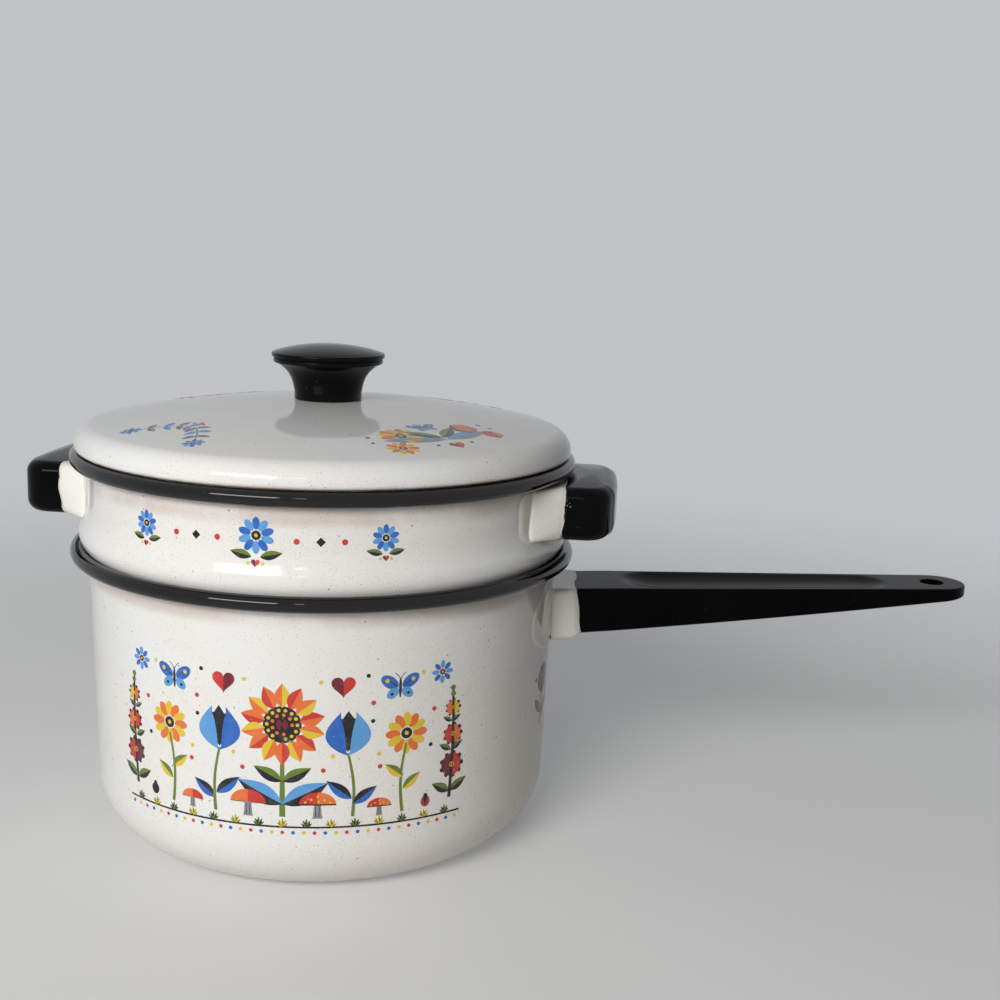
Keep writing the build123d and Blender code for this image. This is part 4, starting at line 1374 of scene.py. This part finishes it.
def band_row():
    """One stretch of the band: a flower, and towards the next one a dot, a diamond and a dot."""
    corners = 1.7 * np.array([1, 1j, -1, -1j])
    diamond = (corners[:, None] + (np.roll(corners, -1) - corners)[:, None] * np.linspace(0, 0.75, 4)).ravel()
    return dots("red", [14.5, 31.5], 1.1) + fill("black", diamond + 23.0)


def garland():
    """The lid's small print: a bow of leaf pairs in cool inks, with buds at its ends."""
    share = np.linspace(0, 1, 24)
    path = 34 * (share - 0.5) - 7j + 12j * np.sin(pi * share)
    drawing = stroke("grey", path, 0.6)
    for number in range(2, 22, 3):
        run = degrees(np.angle(path[number + 1] - path[number - 1]))
        first, second = ("blue", "sky") if number % 2 else ("maroon", "grey")
        drawing += leaf(path[number], 6.0, 2.8, run + 62, first, second)
        drawing += leaf(path[number], 6.0, 2.8, run - 62, second, first)
    ends = moved(daisy(4.4, 8, "sky", "blue", "black"), 18.6 - 8.5j)
    return drawing + both_sides(ends) + dots("red", [-2.5 + 9j, 0 + 10.5j, 2.5 + 9j], 0.9)


def posy():
    """The lid's large print: daisies, a heart and a butterfly over crossed leaves."""
    drawing = leaf(-4j, 26, 7, 14, "sky", "grey") + leaf(-4j, 26, 7, 166, "grey", "sky")
    drawing += leaf(-2j, 17, 5.5, 42, "olive", "black") + leaf(-2j, 17, 5.5, 138, "black", "olive")
    drawing += moved(daisy(9.0, 12, "yellow", "orange", "black"), -15 + 5j)
    drawing += moved(daisy(6.6, 10, "yellow", "orange", "maroon"), -23 - 7j)
    drawing += moved(tulip(12, "maroon", "red", "orange"), 17 + 1j)
    drawing += moved(tulip(9, "red", "orange", "maroon"), 25 - 6j)
    drawing += moved(butterfly(13), 1 + 11j) + moved(heart(6, "maroon", "red"), -10.5j)
    drawing += dots("black", [-30 + 2j, 30 + 6j, -8 - 9j, 8 - 9j], 0.8)
    return drawing + dots("blue", [-28 + 8j, 28 + 11j], 1.0)


def side_flower():
    """The print beside the long handle: one dark tulip on a leafy stem."""
    drawing = stem(-14j, 1j, 0.5, 1.2, "black") + leaf(-11j, 12, 4.6, 38, "maroon", "black")
    drawing += leaf(-8j, 12, 4.6, 142, "black", "maroon") + tulip(13, "maroon", "black", "blue")
    return drawing + dots("black", [-9 + 8j, 9 + 8j], 1.0)


def on_wall(wall_at, azimuth, middle):
    """Wraps a drawing on a turned wall: across becomes an angle and up becomes height."""
    def wrap(points, lift):
        up = middle + points.imag * mm
        radius = wall_at(up)
        angle = radians(azimuth) + points.real * mm / wall_at(middle)
        radius = radius + lift
        return np.stack([radius * np.cos(angle), radius * np.sin(angle), up], -1)
    return wrap


def on_dome(azimuth, out):
    """Lays a drawing on the lid: up points to the knob, across goes round, the dome gives the height."""
    def wrap(points, lift):
        turn = radians(azimuth)
        radial = out - points.imag * mm
        across = points.real * mm
        x = radial * cos(turn) - across * sin(turn)
        y = radial * sin(turn) + across * cos(turn)
        rise = np.sqrt((dome_radius + lift) ** 2 - x ** 2 - y ** 2)
        return np.stack([x, y, lid_edge[1] - dome_rise + rise], -1)
    return wrap


def print_drawings(body, drawings):
    """One thin piece for each ink on a body. Later shapes lie a layer higher."""
    sheets = {}
    for wrap, drawing in drawings:
        for layer, (ink, grid, closed) in enumerate(drawing):
            points = wrap(grid, print_lift + print_layer * (layer % 12))
            sheets.setdefault(ink, []).append((points.reshape(-1, 3), grid_faces(*grid.shape, closed)))
    for ink, parts in sheets.items():
        starts = np.concatenate([[0], np.cumsum([len(points) for points, _ in parts])])
        points = np.concatenate([points for points, _ in parts])
        faces = np.concatenate([faces + start for (_, faces), start in zip(parts, starts)])
        piece = new_piece(body + "_" + ink + "_print", points, faces)
        clean_mesh(piece.data, False)
        thick = piece.modifiers.new("thickness", "SOLIDIFY")
        thick.thickness = print_depth
        thick.offset = -1
        mesh = apply_modifiers(piece, 40)
        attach(piece, body)
        mesh.materials.append(printed_inks[ink])


garden_turn = -98
garden_height = 62 * mm
side_turn = -20
band_turn = -103.4
band_height = 139.7 * mm
band_gap = 27.1

lower_drawings = [
    (on_wall(lower_wall_at, garden_turn, garden_height), garden()),
    (on_wall(lower_wall_at, garden_turn + 180, garden_height), garden()),
    (on_wall(lower_wall_at, side_turn, garden_height), side_flower()),
]
upper_drawings = [
    (on_wall(upper_wall_at, band_turn + half_turn + place * band_gap, band_height), drawing)
    for half_turn in (0, 180)
    for place, drawing in (
        (-1, band_flower(0.82) + band_row()),
        (0, band_flower(1.1) + band_row()),
        (1, band_flower(0.82)),
    )
]
lid_drawings = [
    (on_dome(turn + half_turn, out), drawing)
    for half_turn in (0, 180)
    for turn, out, drawing in ((-135, 76 * mm, garland()), (-54, 74 * mm, posy()))
]
printed_inks = {name: printed_ink(name, colour) for name, colour in inks.items()}
print_drawings("lower", lower_drawings)
print_drawings("upper", upper_drawings)
print_drawings("cover", lid_drawings)

# Camera: the photograph's viewing angle, with a lens of about 50 mm on a 36 mm frame
camera_place = Vector((13.2, -581.3, 251.1)) * mm
camera_yaw = 5.88
camera_pitch = -11.09
camera_roll = 1.94
focal_pixels = 1398.6
frame_pixels = 1000
sensor = 36.0

yaw, pitch, roll = radians(camera_yaw), radians(camera_pitch), radians(camera_roll)
ahead = Vector((sin(yaw) * cos(pitch), cos(yaw) * cos(pitch), sin(pitch)))
level = Vector((cos(yaw), -sin(yaw), 0))
upright = level.cross(ahead)
camera_x = cos(roll) * level + sin(roll) * upright
camera_y = cos(roll) * upright - sin(roll) * level
camera = new_object("camera", bpy.data.cameras.new("camera"))
camera.data.sensor_width = sensor
camera.data.lens = focal_pixels / frame_pixels * sensor
camera_turn = Matrix((camera_x, camera_y, -ahead)).transposed().to_4x4()
camera.matrix_world = Matrix.Translation(camera_place) @ camera_turn
bpy.context.scene.camera = camera


def soft_lamp(name, azimuth, elevation, distance, size, watts, colour, mirrored=True):
    """A lamp that looks at the middle of the pots. Azimuth 0 is on the camera's side, 90 to the right."""
    turn, lift = radians(azimuth), radians(elevation)
    aim = Vector((0, 0, upper_top.z / 2))
    back = Vector((sin(turn) * cos(lift), -cos(turn) * cos(lift), sin(lift)))
    lamp = new_object(name, bpy.data.lights.new(name, "AREA"))
    lamp.data.shape = "RECTANGLE"
    lamp.data.size, lamp.data.size_y = size
    lamp.data.energy = watts
    lamp.data.color = colour
    lamp.location = aim + back * distance
    lamp.rotation_mode = "QUATERNION"
    lamp.rotation_quaternion = (-back).to_track_quat("-Z", "Y")
    lamp.visible_glossy = mirrored
    lamp.visible_camera = False


# Name, azimuth, elevation, distance, size, watts, colour, and whether surfaces mirror it
soft_lamp("key_lamp", -24, 24, 1.6, (0.8, 0.8), 17.6, (1.0, 0.985, 0.965), False)
soft_lamp("window_lamp", -35, 27, 1.5, (0.72, 0.28), 5.0, (1.0, 1.0, 1.0))
soft_lamp("small_lamp", -10, 26, 1.5, (0.10, 0.08), 0.25, (1.0, 0.98, 0.95))
soft_lamp("side_lamp", -75, 5, 1.8, (1.0, 1.2), 3.2, (0.96, 0.98, 1.0), False)
soft_lamp("fill_lamp", 60, 20, 2.4, (1.6, 1.6), 0.6, (1.0, 0.86, 0.78), False)
soft_lamp("back_lamp", 176, 14, 2.2, (1.6, 0.9), 6.5, (0.95, 0.98, 1.0), False)


# Floor and world. Both are pale to the camera and in what is mirrored, and darker where they light.
floor_pale = (0.62, 0.615, 0.605, 1)
floor_paler = (0.65, 0.645, 0.635, 1)
floor_lit = (0.60, 0.55, 0.50, 1)
floor_fade = (0.22, 0.85)
floor_glow = 0.17
world_colour = (0.945, 0.975, 1.0, 1)
world_seen = 0.56
world_light = 0.05


def seen_ray(tree):
    """1 for the camera's rays and for what is mirrored or seen through, 0 for rays that only light."""
    ray = node(tree, "LightPath").outputs
    mirrored_ray = maths(tree, "MAXIMUM", ray["Is Glossy Ray"], ray["Is Transmission Ray"])
    return maths(tree, "MAXIMUM", ray["Is Camera Ray"], mirrored_ray)


def pale_floor():
    """Plain pale floor: a broad sheet just under the pot, faintly mottled, that fades out into the world."""
    reach, drop = 4.0, 0.05 * mm
    line = np.linspace(-reach, reach, 9)
    x, y = np.meshgrid(line, line)
    points = np.stack([x, y, np.full(x.shape, -drop)], -1)
    floor = new_piece("floor", points, grid_faces(*x.shape, False))
    made, tree, shader, vector = material("pale_floor")
    mottle = noise(tree, vector, 9.0, 6.0, 0.6)
    pale = blend_colour(tree, mottle, floor_pale, floor_paler)
    seen = seen_ray(tree)
    connect(tree, shader, blend_colour(tree, seen, floor_lit, pale), ramp(tree, mottle, 0.3, 0.7, 0.55, 0.65))
    shader.inputs["Emission Color"].default_value = world_colour
    tree.links.new(times(tree, seen, floor_glow), shader.inputs["Emission Strength"])
    out = node(tree, "VectorMath", {0: vector}, operation="LENGTH").outputs["Value"]
    clear = node(tree, "BsdfTransparent").outputs[0]
    faded = node(tree, "MixShader", {0: ramp(tree, out, *floor_fade)})
    tree.links.new(shader.outputs[0], faded.inputs[1])
    tree.links.new(clear, faded.inputs[2])
    tree.links.new(faded.outputs[0], tree.nodes["Material Output"].inputs["Surface"])
    floor.data.materials.append(made)


def studio_world():
    """An even pale grey to the camera and in what is mirrored, and a dim one where it lights."""
    world = bpy.data.worlds.new("studio")
    bpy.context.scene.world = world
    world.use_nodes = True
    tree = world.node_tree
    backdrop = tree.nodes["Background"]
    backdrop.inputs["Color"].default_value = world_colour
    strength = node(tree, "Mix", {0: seen_ray(tree), 2: world_light, 3: world_seen}).outputs[0]
    tree.links.new(strength, backdrop.inputs["Strength"])


pale_floor()
studio_world()

bpy.context.scene.view_settings.view_transform = "Standard"
